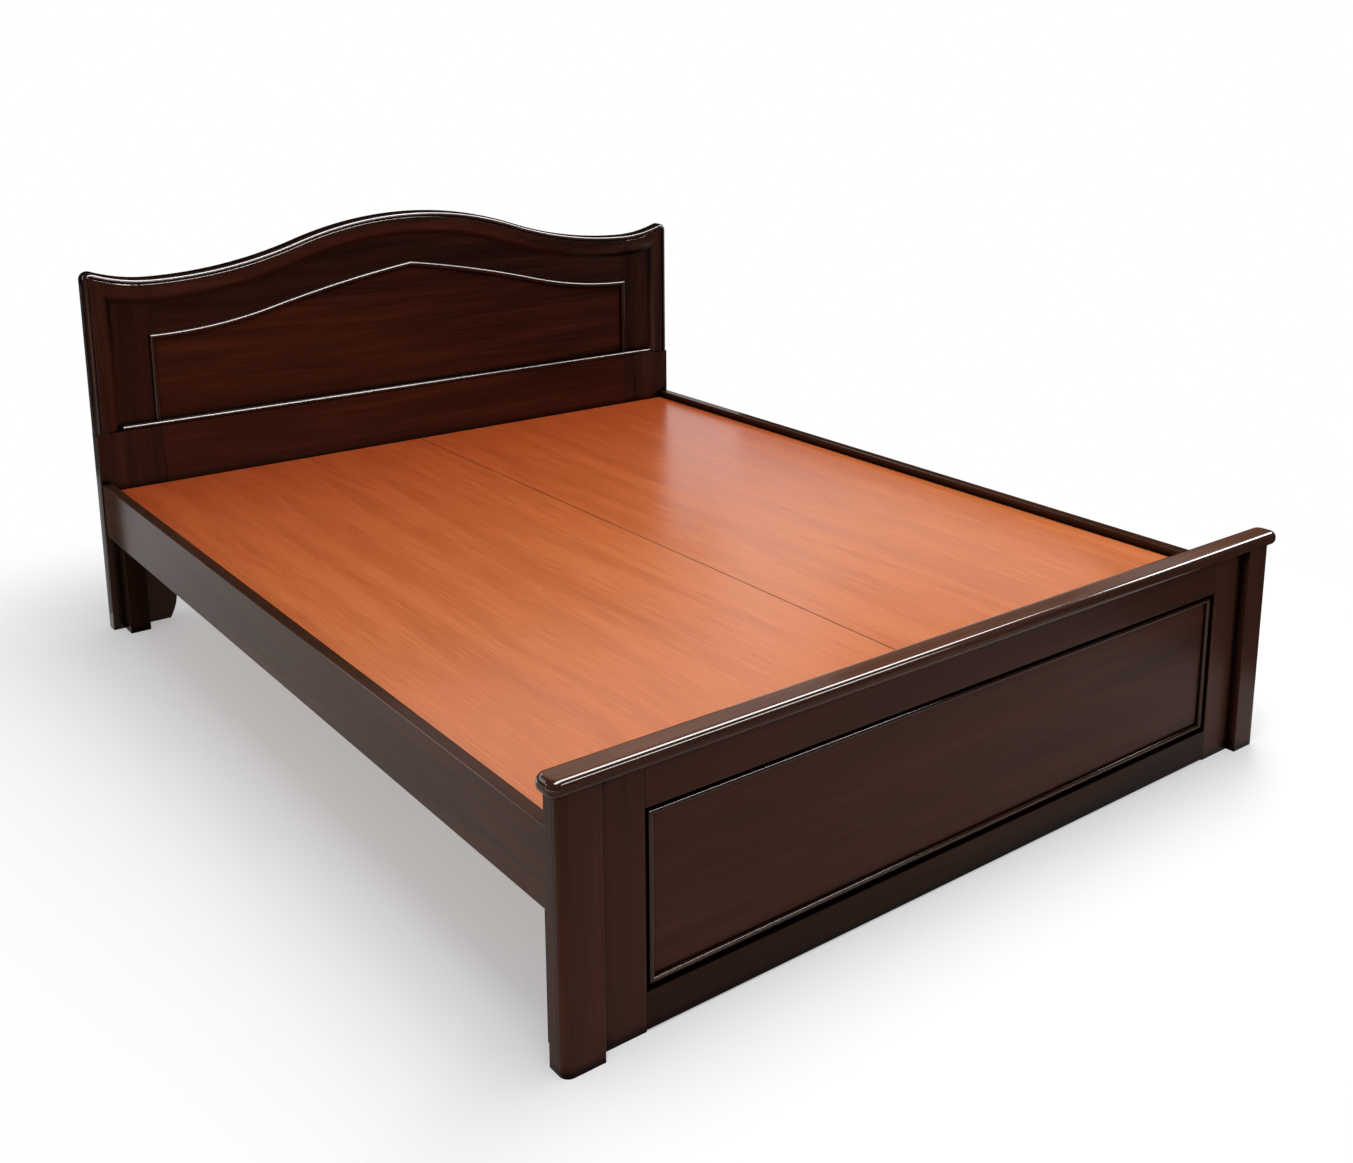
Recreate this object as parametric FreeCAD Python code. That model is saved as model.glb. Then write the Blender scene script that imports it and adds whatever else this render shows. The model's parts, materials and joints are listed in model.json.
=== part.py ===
import FreeCAD, Part
import math
import os
from collections import namedtuple

# Double bed in dark stained hardwood with a serpentine headboard, a panelled footboard,
# two side rails and a loose plywood deck on battens.
# Lengths are in millimetres and angles in degrees.
# X runs across the bed, Y from the foot to the head, and Z up from the floor.

# Mattress and the room left round it
mattress_width = 1524.0
mattress_length = 1905.0
mattress_gap = 3.0

# Side rails
rail_thickness = 22.0
rail_depth = 121.0
rail_top = 350.0
rail_reveal = 3.0

# Deck boards
deck_recess = 18.0
deck_thickness = 18.0
deck_side_gap = 2.0
deck_lift_gap = 2.0
deck_seam_gap = 1.0

# Support under the deck
batten_count = 7
batten_width = 70.0
batten_thickness = 20.0
batten_side_gap = 2.0
batten_inset = 12.0
cleat_size = 25.0
cleat_end_gap = 5.0
bearer_thickness = 22.0
bearer_depth = 72.0
bearer_end_gap = 1.5
beam_width = 40.0
beam_depth = 45.0
leg_size = 45.0
leg_tenon_size = 22.0
leg_tenon_length = 20.0
corner_block_size = 45.0

# Steel saddles that carry the ends of the centre beam
saddle_plate = 3.0
saddle_length = 50.0
saddle_height = 34.0
saddle_wing = 22.0
saddle_slack = 0.5

# Headboard outline
headboard_thickness = 32.0
headboard_stile_width = 148.0
crest_peak = 918.0
crest_drop = 108.0
crest_arc_share = 0.46
ear_rise = 32.0
ear_tip_radius = 18.0
foot_cut_width = 18.0
foot_cut_height = 62.0
ledge_height = 466.0

# Moulded edge of the headboard, measured inward from its outline and back from its face
band_width = 60.0
roll_radius = 10.5
roll_flat = 1.0
quirk_width = 1.5
quirk_depth = 5.0
shoulder_radius = 3.0
band_depth = 10.0
cove_radius = 4.0
cut_margin = 5.0
sweep_margin = 6.0

# Sight line of the headboard panel: a hollow sweep at each side, then a slow rise to a point
sight_drop = 142.0
sight_peak_slope = 8.5
sight_turn_slope = 15.0
sight_turn_share = 0.56

# Panels, grooves, tenons and beads
head_bead_width = 12.0
ledge_bead_proud = 2.0
head_panel_thickness = 10.0
head_panel_setback = 3.0
groove_depth = 10.0
panel_edge_gap = 2.0
tenon_length = 35.0
tenon_shoulder = 20.0
spline_width = 40.0
spline_gap = 6.0

# Footboard
foot_frame_thickness = 22.0
foot_block_thickness = 18.0
foot_block_width = 65.0
foot_block_corner = 15.0
foot_stile_width = 144.0
foot_top_rail_depth = 71.0
foot_bottom_rail_depth = 59.0
foot_rise = 58.0
foot_floor_gap = 2.0
foot_panel_recess = 9.0
foot_panel_thickness = 8.0
foot_groove_depth = 8.0
foot_tenon_shoulder = 10.0
foot_quirk = 7.0
foot_bead_width = 9.0
foot_bead_height = 7.0

# Cap on the footboard
cap_thickness = 25.0
cap_front_overhang = 8.0
cap_end_overhang = 16.0
cap_back_overhang = 2.0
cap_corner_radius = 18.0
cap_edge_radius = 11.0
cap_dowel_radius = 5.0
cap_dowel_length = 40.0
cap_dowel_in_cap = 18.0
cap_dowel_count = 5

# Softened edges
arris_radius = 1.5
deck_arris_radius = 1.0
headboard_arris_radius = 2.5

# Fasteners
screw_head_radius = 4.0
screw_head_height = 2.5
screw_shank_radius = 2.0
screw_tip_length = 4.0
screw_bite = 15.0
bearer_screw_inset = 20.0
block_screw_pitch = 120.0
block_screw_count = 2
fastener_slack = 0.3
bolt_radius = 4.0
bolt_height_shares = (0.3, 0.7)
bolt_tip_gap = 2.0
bolt_head_height = 5.5
bolt_head_flats = 13.0
bolt_head_sides = 6
washer_radius = 8.0
washer_thickness = 2.0
washer_edge_gap = 4.0
insert_radius = 6.0
insert_length = 15.0

# Places across the bed
clear_half = mattress_width / 2 + mattress_gap
rail_outer = clear_half + rail_thickness
half_width = rail_outer + rail_reveal
head_stile_inner = half_width - headboard_stile_width
foot_stile_inner = half_width - foot_stile_width
block_inner = clear_half - corner_block_size
bearer_end = block_inner - washer_thickness - bolt_head_height - bearer_end_gap

# Places along the bed
clear_length = mattress_length + 2 * mattress_gap
foot_depth = foot_frame_thickness + foot_block_thickness + cap_front_overhang
overall_length = headboard_thickness + clear_length + foot_depth
head_back = overall_length / 2
head_face = head_back - headboard_thickness
foot_face = head_face - clear_length
foot_front = foot_face - foot_frame_thickness
foot_block_front = foot_front - foot_block_thickness
cap_front = foot_block_front - cap_front_overhang
cap_back = foot_face + cap_back_overhang
cleat_foot = foot_face + corner_block_size + cleat_end_gap
cleat_head = head_face - corner_block_size - cleat_end_gap
beam_foot = foot_face + bearer_thickness + saddle_plate
beam_head = head_face - bearer_thickness - saddle_plate
deck_end_gap = cap_back_overhang + deck_lift_gap
bolt_setback = corner_block_size - washer_radius - washer_edge_gap

# Heights
rail_bottom = rail_top - rail_depth
foot_height = rail_top + foot_rise
deck_top = rail_top - deck_recess
deck_under = deck_top - deck_thickness
batten_under = deck_under - batten_thickness
cleat_under = batten_under - cleat_size
beam_under = batten_under - beam_depth
bearer_under = deck_under - bearer_depth
bolt_heights = [rail_bottom + share * (deck_under - rail_bottom) for share in bolt_height_shares]
crest_valley = crest_peak - crest_drop
ear_height = crest_valley + ear_rise
sight_corner = crest_valley - sight_drop
ledge_top = ledge_height + head_bead_width
panel_floor = ledge_top - groove_depth
cap_top = foot_height + cap_thickness
foot_opening_bottom = foot_floor_gap + foot_bottom_rail_depth
foot_opening_top = foot_height - foot_top_rail_depth

# Depths behind the headboard's face and the footboard's face
field_depth = band_depth + cove_radius
head_groove_front = field_depth + head_panel_setback
head_groove_back = head_groove_front + head_panel_thickness
foot_groove_back = foot_panel_recess + foot_panel_thickness
mould_reach = crest_peak - ledge_height

# Screw lengths: the piece that each one passes through, and the bite behind it
cleat_screw_length = cleat_size + screw_bite
batten_screw_length = batten_thickness + screw_bite
bearer_screw_length = bearer_thickness + screw_bite
block_screw_length = corner_block_size + screw_bite
saddle_screw_length = screw_head_height + saddle_plate + screw_bite

# The crest line: a crown arc, a hollow arc tangent to it, and a tighter hollow that lifts the ear
Bend = namedtuple("Bend", "x z radius start end inward")
quarter = math.pi / 2
downward = 3 * quarter
half_root = math.sqrt(1 / 2)
crest_turn = 2 * math.atan(crest_drop / head_stile_inner)
crown_radius = crest_arc_share * head_stile_inner / math.sin(crest_turn)
hollow_radius = (1 - crest_arc_share) * head_stile_inner / math.sin(crest_turn)
ear_radius = (headboard_stile_width ** 2 + ear_rise ** 2) / (2 * ear_rise)
ear_turn = math.asin(headboard_stile_width / ear_radius)
hollow_z = crest_valley + hollow_radius
ear_z = crest_valley + ear_radius
crown = Bend(0, crest_peak - crown_radius, crown_radius, quarter - crest_turn, quarter, -1)
hollow = Bend(head_stile_inner, hollow_z, hollow_radius, downward - crest_turn, downward, 1)
ear = Bend(head_stile_inner, ear_z, ear_radius, downward, downward + ear_turn, 1)

# The sight line: its offsets count upward, into the crest rail
peak_slope = math.radians(sight_peak_slope)
turn_slope = math.radians(sight_turn_slope)
sight_turn = sight_turn_share * head_stile_inner
sweep_radius = (head_stile_inner - sight_turn) / math.sin(turn_slope)
rise_radius = sight_turn / (math.sin(turn_slope) - math.sin(peak_slope))
sight_turn_height = sight_corner + sweep_radius * (1 - math.cos(turn_slope))
rise_x = -rise_radius * math.sin(peak_slope)
rise_z = sight_turn_height - rise_radius * math.cos(turn_slope)
sweep_z = sight_corner + sweep_radius
sweep = Bend(head_stile_inner, sweep_z, sweep_radius, downward - turn_slope, downward, -1)
rise = Bend(rise_x, rise_z, rise_radius, quarter - turn_slope, quarter - peak_slope, 1)

along_x = FreeCAD.Vector(1, 0, 0)
along_y = FreeCAD.Vector(0, 1, 0)
along_z = FreeCAD.Vector(0, 0, 1)
origin = FreeCAD.Vector(0, 0, 0)
parallel_share = 0.999


# Shared shapes
def box(x0, x1, y0, y1, z0, z1):
    return Part.makeBox(x1 - x0, y1 - y0, z1 - z0, FreeCAD.Vector(x0, y0, z0))


def mirrored(shape):
    return shape.mirror(origin, along_x)


def runs_along(edge, axis):
    return abs(edge.tangentAt(edge.FirstParameter).dot(axis)) > parallel_share


def softened(shape, axis, radius):
    return shape.makeFillet(radius, [edge for edge in shape.Edges if runs_along(edge, axis)])


def edges_at(shape, point, axis):
    return [edge for edge in shape.Edges if (edge.CenterOfMass - point).cross(axis).Length < arris_radius]


def line(start, end):
    return Part.makeLine(FreeCAD.Vector(start[0], 0, start[1]), FreeCAD.Vector(end[0], 0, end[1]))


def polyline(points):
    return [line(start, end) for start, end in zip(points, points[1:])]


def bend_point(bend, offset, angle, side=1):
    radius = bend.radius + bend.inward * offset
    return side * (bend.x + radius * math.cos(angle)), bend.z + radius * math.sin(angle)


def bend_edge(bend, offset, start, end, side=1):
    points = [bend_point(bend, offset, angle, side) for angle in (start, (start + end) / 2, end)]
    return Part.Arc(*[FreeCAD.Vector(x, 0, z) for x, z in points]).toShape()


def plate(edges, front, back):
    face = Part.Face(Part.Wire(Part.__sortEdges__(edges)))
    face.translate(FreeCAD.Vector(0, front, 0))
    return face.extrude(FreeCAD.Vector(0, back - front, 0))


def spun(profile):
    points = [FreeCAD.Vector(radius, 0, height) for radius, height in profile]
    face = Part.Face(Part.makePolygon(points + points[:1]))
    return face.revolve(origin, along_z, math.degrees(4 * quarter))


def aimed(shape, point, direction):
    turned = shape.copy()
    turned.Placement = FreeCAD.Placement(FreeCAD.Vector(*point), FreeCAD.Rotation(-along_z, direction))
    return turned


# Screws, with the hole that takes each one
def screw(length, slack):
    head = screw_head_radius + slack
    shank = screw_shank_radius + slack
    neck = screw_tip_length - length
    profile = [(0, 0), (head, 0), (head, -screw_head_height), (shank, -screw_head_height)]
    return spun(profile + [(shank, neck), (0, -length - slack)])


def screws(places, length):
    return Part.makeCompound([aimed(screw(length, 0), point, direction) for point, direction in places])


def drilled(shape, places, length):
    hole = screw(length, fastener_slack)
    return shape.cut([aimed(hole, point, direction) for point, direction in places])


def on_both_sides(places):
    flipped = [((-x, y, z), FreeCAD.Vector(-way.x, way.y, way.z)) for (x, y, z), way in places]
    return places + flipped


def batten_centres():
    first = cleat_foot + batten_inset + batten_width / 2
    last = cleat_head - batten_inset - batten_width / 2
    pitch = (last - first) / (batten_count - 1)
    return [first + pitch * number for number in range(batten_count)]


def cleat_screw_places():
    centres = batten_centres()
    height = cleat_under + cleat_size / 2
    middles = [(near + far) / 2 for near, far in zip(centres, centres[1:])]
    return [((clear_half - cleat_size, middle, height), along_x) for middle in middles]


def batten_screw_places():
    across = clear_half - cleat_size / 2
    return [((across, centre, deck_under), -along_z) for centre in batten_centres()]


def bearer_screw_places(face, way):
    across = bearer_end - bearer_screw_inset
    heights = (bearer_under + bearer_screw_inset, deck_under - bearer_screw_inset)
    return [((across, face, height), way) for height in heights]


def head_bearer_screws():
    return bearer_screw_places(head_face - bearer_thickness, along_y)


def foot_bearer_screws():
    return bearer_screw_places(foot_face + bearer_thickness, -along_y)


def saddle_screw_places(plate_face, way):
    across = beam_width / 2 + saddle_slack + saddle_plate + saddle_wing / 2
    height = beam_under + saddle_height / 2
    outside = plate_face - way.y * screw_head_height
    return [((across, outside, height), way)]


def head_saddle_screws():
    return saddle_screw_places(head_face - bearer_thickness - saddle_plate, along_y)


def foot_saddle_screws():
    return saddle_screw_places(foot_face + bearer_thickness + saddle_plate, -along_y)


def block_screw_places(face, way):
    across = clear_half - corner_block_size / 2
    heights = [block_screw_pitch * (number + 1 / 2) for number in range(block_screw_count)]
    return [((across, face, height), way) for height in heights]


def head_block_screws():
    return block_screw_places(head_face - corner_block_size, along_y)


def foot_block_screws():
    return block_screw_places(foot_face + corner_block_size, -along_y)


# Bolts that hold the side rails to the corner blocks
def bolt_places():
    lengthwise = (head_face - bolt_setback, foot_face + bolt_setback)
    return [(along, height) for along in lengthwise for height in bolt_heights]


def rod(x0, x1, along, height, radius):
    return Part.makeCylinder(radius, x1 - x0, FreeCAD.Vector(x0, along, height), along_x)


def on_both_rails(solids):
    return Part.makeCompound(solids + [mirrored(solid) for solid in solids])


def bolt(along, height):
    seat = block_inner - washer_thickness
    shank = rod(seat, clear_half + insert_length - bolt_tip_gap, along, height, bolt_radius)
    corner_radius = bolt_head_flats / 2 / math.cos(2 * quarter / bolt_head_sides)
    corners = []
    for number in range(bolt_head_sides):
        turn = 4 * quarter * number / bolt_head_sides
        across = along + corner_radius * math.cos(turn)
        up = height + corner_radius * math.sin(turn)
        corners.append(FreeCAD.Vector(seat - bolt_head_height, across, up))
    head = Part.Face(Part.makePolygon(corners + corners[:1])).extrude(along_x * bolt_head_height)
    return head.fuse(shank).removeSplitter()


def bed_bolts():
    return on_both_rails([bolt(along, height) for along, height in bolt_places()])


def bed_bolt_washers():
    solids = []
    for along, height in bolt_places():
        disc = rod(block_inner - washer_thickness, block_inner, along, height, washer_radius)
        hole = rod(block_inner - washer_thickness, block_inner, along, height, bolt_radius + fastener_slack)
        solids.append(disc.cut(hole))
    return on_both_rails(solids)


def threaded_inserts():
    solids = []
    for along, height in bolt_places():
        sleeve = rod(clear_half, clear_half + insert_length, along, height, insert_radius)
        bore = rod(clear_half, clear_half + insert_length, along, height, bolt_radius + fastener_slack)
        solids.append(sleeve.cut(bore))
    return on_both_rails(solids)


# Headboard
def moulding_face(place):
    quirk_start = roll_radius + roll_flat
    shoulder_start = quirk_start + quirk_width
    shoulder_end = shoulder_start + shoulder_radius
    band_start = quirk_depth - shoulder_radius
    cove_start = band_width - cove_radius
    run = cove_start - shoulder_end
    drop = band_depth - band_start
    band_radius = (run ** 2 + drop ** 2) / (2 * drop)
    half_turn = math.asin(run / band_radius) / 2
    front = -cut_margin
    quirk = [(quirk_start, front), (quirk_start, quirk_depth), (shoulder_start, quirk_depth)]
    field = [(band_width, field_depth), (mould_reach, field_depth)]
    field += [(mould_reach, front), (quirk_start, front)]
    edges = []
    for corners in (quirk, field):
        points = [place(inward, depth) for inward, depth in corners]
        edges += [Part.makeLine(start, end) for start, end in zip(points, points[1:])]
    round_mid = shoulder_radius * half_root
    cove_mid = cove_radius * half_root
    shoulder_middle = place(shoulder_end - round_mid, quirk_depth - round_mid)
    band_sag = band_radius * (1 - math.cos(half_turn))
    band_middle = place(shoulder_end + band_radius * math.sin(half_turn), band_start + band_sag)
    cove_middle = place(band_width - cove_mid, band_depth + cove_mid)
    shoulder_top = place(shoulder_end, band_start)
    band_end = place(cove_start, band_depth)
    edges.append(Part.Arc(place(shoulder_start, quirk_depth), shoulder_middle, shoulder_top).toShape())
    edges.append(Part.Arc(shoulder_top, band_middle, band_end).toShape())
    edges.append(Part.Arc(band_end, cove_middle, place(band_width, field_depth)).toShape())
    return Part.Face(Part.Wire(Part.__sortEdges__(edges)))


def moulding_round(bend, start, end):
    def place(inward, depth):
        across, height = bend_point(bend, inward, start)
        return FreeCAD.Vector(across, head_face + depth, height)

    centre = FreeCAD.Vector(bend.x, 0, bend.z)
    return moulding_face(place).revolve(centre, -along_y, math.degrees(end - start))


def moulding_upright():
    def place(inward, depth):
        return FreeCAD.Vector(half_width - inward, head_face + depth, ledge_height)

    return moulding_face(place).extrude(along_z * (ear_height + cut_margin - ledge_height))


def head_depth_box(x0, x1, front, back, z0, z1):
    return box(x0, x1, head_face + front, head_face + back, z0, z1)


def lower_tenon():
    reach = head_stile_inner + tenon_length
    low = rail_bottom + tenon_shoulder
    high = ledge_height - tenon_shoulder
    return head_depth_box(head_stile_inner, reach, head_groove_front, head_groove_back, low, high)


def crest_tenon():
    reach = head_stile_inner + tenon_length
    low = sight_corner + tenon_shoulder
    high = crest_valley - tenon_shoulder
    return head_depth_box(head_stile_inner, reach, head_groove_front, head_groove_back, low, high)


def rim_edges(blank, depth, lowest):
    level = [edge for edge in blank.Edges if edge.BoundBox.YLength < arris_radius]
    level = [edge for edge in level if abs(edge.CenterOfMass.y - depth) < arris_radius]
    upper = [edge for edge in level if edge.CenterOfMass.z > lowest + arris_radius]
    joints = (0, head_stile_inner)
    return [edge for edge in upper if min(abs(edge.CenterOfMass.x - x) for x in joints) > arris_radius]


def moulded_rim(blank, lowest):
    blank = blank.makeFillet(roll_radius, rim_edges(blank, head_face, lowest))
    return blank.makeFillet(headboard_arris_radius, rim_edges(blank, head_back, lowest))


def stile_top():
    ear_end = bend_point(ear, 0, ear.end)
    valley = (head_stile_inner, crest_valley)
    edges = polyline([valley, (head_stile_inner, ledge_height), (half_width, ledge_height), ear_end])
    edges.append(bend_edge(ear, 0, ear.start, ear.end))
    blank = plate(edges, head_face, head_back)
    tip = edges_at(blank, FreeCAD.Vector(half_width, 0, ear_end[1]), along_y)
    return moulded_rim(blank.makeFillet(ear_tip_radius, tip), ledge_height)


def stile_leg():
    cut_radius = (foot_cut_width ** 2 + foot_cut_height ** 2) / (2 * foot_cut_width)
    cut_turn = math.asin(foot_cut_height / cut_radius)
    cut_x = head_stile_inner + cut_radius
    foot_cut = Bend(cut_x, foot_cut_height, cut_radius, 2 * quarter, 2 * quarter + cut_turn, 1)
    floor_end = bend_point(foot_cut, 0, foot_cut.end)
    ledge_ends = [(half_width, ledge_height), (head_stile_inner, ledge_height)]
    edges = polyline([floor_end, (half_width, 0)] + ledge_ends + [(head_stile_inner, foot_cut_height)])
    edges.append(bend_edge(foot_cut, 0, foot_cut.start, foot_cut.end))
    blank = plate(edges, head_face, head_back)
    corners = [(half_width, head_face), (half_width, head_back), (head_stile_inner, head_face)]
    arrises = []
    for across, along in corners:
        arrises += edges_at(blank, FreeCAD.Vector(across, along, 0), along_z)
    return blank.makeFillet(arris_radius, arrises)


def headboard_stile():
    margin = math.radians(sweep_margin)
    round_cut = moulding_round(ear, ear.start - margin, ear.end + margin)
    top = stile_top().cut(moulding_upright().common(round_cut))
    stile = top.fuse(stile_leg()).removeSplitter()
    near = head_stile_inner
    far = near + groove_depth
    high = sight_corner + groove_depth
    groove = head_depth_box(near, far, head_groove_front, head_groove_back, panel_floor, high)
    stile = stile.cut([groove, lower_tenon(), crest_tenon()])
    stile = drilled(stile, head_bearer_screws(), bearer_screw_length)
    return drilled(stile, head_block_screws(), block_screw_length)


def sight_edges(side, offset):
    crossing = math.acos(-rise.x / (rise.radius + offset))
    hollow_edge = bend_edge(sweep, offset, sweep.start, sweep.end, side)
    return [hollow_edge, bend_edge(rise, offset, rise.start, crossing, side)]


def sight_peak(offset):
    radius = rise.radius + offset
    return 0, rise.z + radius * math.sin(math.acos(-rise.x / radius))


def opening_edges(half, floor, offset):
    top = sight_corner + offset
    edges = sight_edges(1, offset) + sight_edges(-1, offset)
    right = [(head_stile_inner, top), (half, top), (half, floor), (-half, floor), (-half, top)]
    return edges + polyline(right + [(-head_stile_inner, top)])


def headboard_crest():
    edges = [bend_edge(bend, 0, bend.start, bend.end) for bend in (crown, hollow)]
    edges += sight_edges(1, 0)
    edges.append(line(sight_peak(0), (0, crest_peak)))
    edges.append(line((head_stile_inner, sight_corner), (head_stile_inner, crest_valley)))
    blank = plate(edges, head_face, head_back)
    blank = moulded_rim(blank, sight_peak(0)[1])
    margin = math.radians(sweep_margin)
    crown_cut = moulding_round(crown, crown.start, crown.end + margin)
    hollow_cut = moulding_round(hollow, hollow.start, hollow.end + margin)
    outline = opening_edges(head_stile_inner + groove_depth, panel_floor, groove_depth)
    groove = plate(outline, head_face + head_groove_front, head_face + head_groove_back)
    rail = blank.cut([crown_cut, hollow_cut, groove, crest_spline()])
    return rail.fuse(crest_tenon()).removeSplitter()


def crest_spline():
    low = sight_peak(groove_depth)[1] + spline_gap
    high = crest_peak - band_width - spline_gap
    half = spline_width / 2
    return head_depth_box(-half, half, head_groove_front, head_groove_back, low, high)


def headboard_lower_rail():
    half = head_stile_inner
    rail = head_depth_box(-half, half, 0, headboard_thickness, rail_bottom, ledge_top)
    ends = [edge for across in (-half, half)
            for edge in edges_at(rail, FreeCAD.Vector(across, head_face, 0), along_z)]
    rail = rail.makeFillet(arris_radius, ends)
    rebate = head_depth_box(-half, half, 0, field_depth, ledge_height, ledge_top)
    groove = head_depth_box(-half, half, head_groove_front, head_groove_back, panel_floor, ledge_top)
    return rail.cut([rebate, groove]).fuse([lower_tenon(), mirrored(lower_tenon())]).removeSplitter()


def headboard_panel():
    edge = groove_depth - panel_edge_gap
    outline = opening_edges(head_stile_inner + edge, panel_floor, edge)
    return plate(outline, head_face + head_groove_front, head_face + head_groove_back)


def half_round(place):
    radius = head_bead_width / 2
    low = place(0, field_depth)
    crown_of_bead = place(radius, field_depth - radius)
    high = place(head_bead_width, field_depth)
    return Part.Face(Part.Wire([Part.Arc(low, crown_of_bead, high).toShape(), Part.makeLine(high, low)]))


def bead_round(bend, start, end):
    def place(upward, depth):
        across, height = bend_point(bend, upward, start)
        return FreeCAD.Vector(across, head_face + depth, height)

    centre = FreeCAD.Vector(bend.x, 0, bend.z)
    return half_round(place).revolve(centre, -along_y, math.degrees(end - start))


def bead_mitre(corner):
    outer = head_stile_inner + head_bead_width
    top = sight_corner + head_bead_width
    points = [(head_stile_inner, sight_corner), (outer, top), corner, (head_stile_inner, sight_corner)]
    return plate(polyline(points), head_face - cut_margin, head_back)


def headboard_bead_top():
    def place(upward, depth):
        return FreeCAD.Vector(head_stile_inner, head_face + depth, sight_corner + upward)

    margin = math.radians(sweep_margin)
    corner = half_round(place).extrude(along_x * head_bead_width)
    hollow_run = bead_round(sweep, sweep.start, sweep.end)
    rising_run = bead_round(rise, rise.start, rise.end + margin)
    bead = corner.fuse([hollow_run, rising_run])
    past_centre = box(-head_stile_inner, 0, head_face - cut_margin, head_back, sight_corner, crest_peak)
    under_mitre = bead_mitre((head_stile_inner + head_bead_width, sight_corner))
    return bead.cut([past_centre, under_mitre]).removeSplitter()


def headboard_bead_side():
    def place(outward, depth):
        return FreeCAD.Vector(head_stile_inner + outward, head_face + depth, ledge_top)

    bead = half_round(place).extrude(along_z * (sight_corner + head_bead_width - ledge_top))
    return bead.cut(bead_mitre((head_stile_inner, sight_corner + head_bead_width)))


def nosed_bar(x0, x1, back, front, low, high):
    nose = (high - low) / 2
    spring = front + nose
    corners = [(spring, low), (back, low), (back, high), (spring, high)]
    points = [FreeCAD.Vector(x0, along, height) for along, height in corners]
    edges = [Part.makeLine(start, end) for start, end in zip(points, points[1:])]
    tip = FreeCAD.Vector(x0, front, low + nose)
    edges.append(Part.Arc(points[-1], tip, points[0]).toShape())
    return Part.Face(Part.Wire(edges)).extrude(along_x * (x1 - x0))


def headboard_bead_ledge():
    half = half_width - band_width
    back = head_face + field_depth
    return nosed_bar(-half, half, back, head_face - ledge_bead_proud, ledge_height, ledge_top)


# Footboard
def foot_tenon(low, high):
    reach = foot_stile_inner + tenon_length
    front = foot_front + foot_panel_recess
    back = foot_front + foot_groove_back
    shoulder = foot_tenon_shoulder
    return box(foot_stile_inner, reach, front, back, low + shoulder, high - shoulder)


def top_tenon():
    return foot_tenon(foot_opening_top, foot_height)


def bottom_tenon():
    return foot_tenon(foot_floor_gap, foot_opening_bottom)


def foot_groove():
    half = foot_stile_inner + foot_groove_depth
    low = foot_opening_bottom - foot_groove_depth
    high = foot_opening_top + foot_groove_depth
    return box(-half, half, foot_front + foot_panel_recess, foot_front + foot_groove_back, low, high)


def cap_dowel_places():
    outer = (foot_stile_inner + half_width) / 2
    pitch = 2 * outer / (cap_dowel_count - 1)
    return [pitch * number - outer for number in range(cap_dowel_count)]


def cap_dowel_pins(slack):
    low = foot_height + cap_dowel_in_cap - cap_dowel_length
    along = (foot_face + foot_front) / 2
    radius = cap_dowel_radius + slack
    places = [FreeCAD.Vector(across, along, low) for across in cap_dowel_places()]
    return [Part.makeCylinder(radius, cap_dowel_length, place, along_z) for place in places]


def footboard_stile():
    board = box(foot_stile_inner, half_width, foot_front, foot_face, 0, foot_height)
    board = softened(board, along_z, arris_radius)
    board = board.cut([foot_groove(), top_tenon(), bottom_tenon()] + cap_dowel_pins(fastener_slack))
    board = drilled(board, foot_bearer_screws(), bearer_screw_length)
    return drilled(board, foot_block_screws(), block_screw_length)


def footboard_block():
    inner = half_width - foot_block_width
    block = box(inner, half_width, foot_block_front, foot_front, 0, foot_height)
    outer_edge = edges_at(block, FreeCAD.Vector(half_width, foot_block_front, 0), along_z)
    block = block.makeFillet(min(foot_block_corner, foot_block_thickness - arris_radius), outer_edge)
    inner_edge = edges_at(block, FreeCAD.Vector(inner, foot_block_front, 0), along_z)
    return block.makeFillet(arris_radius, inner_edge)


def footboard_top_rail():
    rail = box(-foot_stile_inner, foot_stile_inner, foot_front, foot_face, foot_opening_top, foot_height)
    rail = softened(rail, along_x, arris_radius).cut([foot_groove()] + cap_dowel_pins(fastener_slack))
    return rail.fuse([top_tenon(), mirrored(top_tenon())])


def footboard_bottom_rail():
    half = foot_stile_inner
    rail = box(-half, half, foot_front, foot_face, foot_floor_gap, foot_opening_bottom)
    rail = softened(rail, along_x, arris_radius).cut(foot_groove())
    return rail.fuse([bottom_tenon(), mirrored(bottom_tenon())])


def footboard_panel():
    half = foot_stile_inner + foot_groove_depth - panel_edge_gap
    low = foot_opening_bottom - foot_groove_depth
    high = foot_opening_top + foot_groove_depth - panel_edge_gap
    return box(-half, half, foot_front + foot_panel_recess, foot_front + foot_groove_back, low, high)


def foot_bead_bar(length):
    back = foot_panel_recess
    front = foot_panel_recess - foot_bead_height
    return nosed_bar(-length / 2, length / 2, foot_front + back, foot_front + front, 0, foot_bead_width)


def mitred(bar, length):
    inner = length / 2 - foot_bead_width
    points = [(-length / 2, foot_bead_width), (length / 2, foot_bead_width), (inner, 0), (-inner, 0)]
    prism = plate(polyline(points + points[:1]), foot_front - cut_margin, foot_face)
    return bar.common(prism)


def foot_bead(length, across, height, turn):
    bead = mitred(foot_bead_bar(length), length)
    bead.rotate(FreeCAD.Vector(0, 0, foot_bead_width), -along_y, turn)
    bead.translate(FreeCAD.Vector(across, 0, height - foot_bead_width))
    return bead


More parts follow.
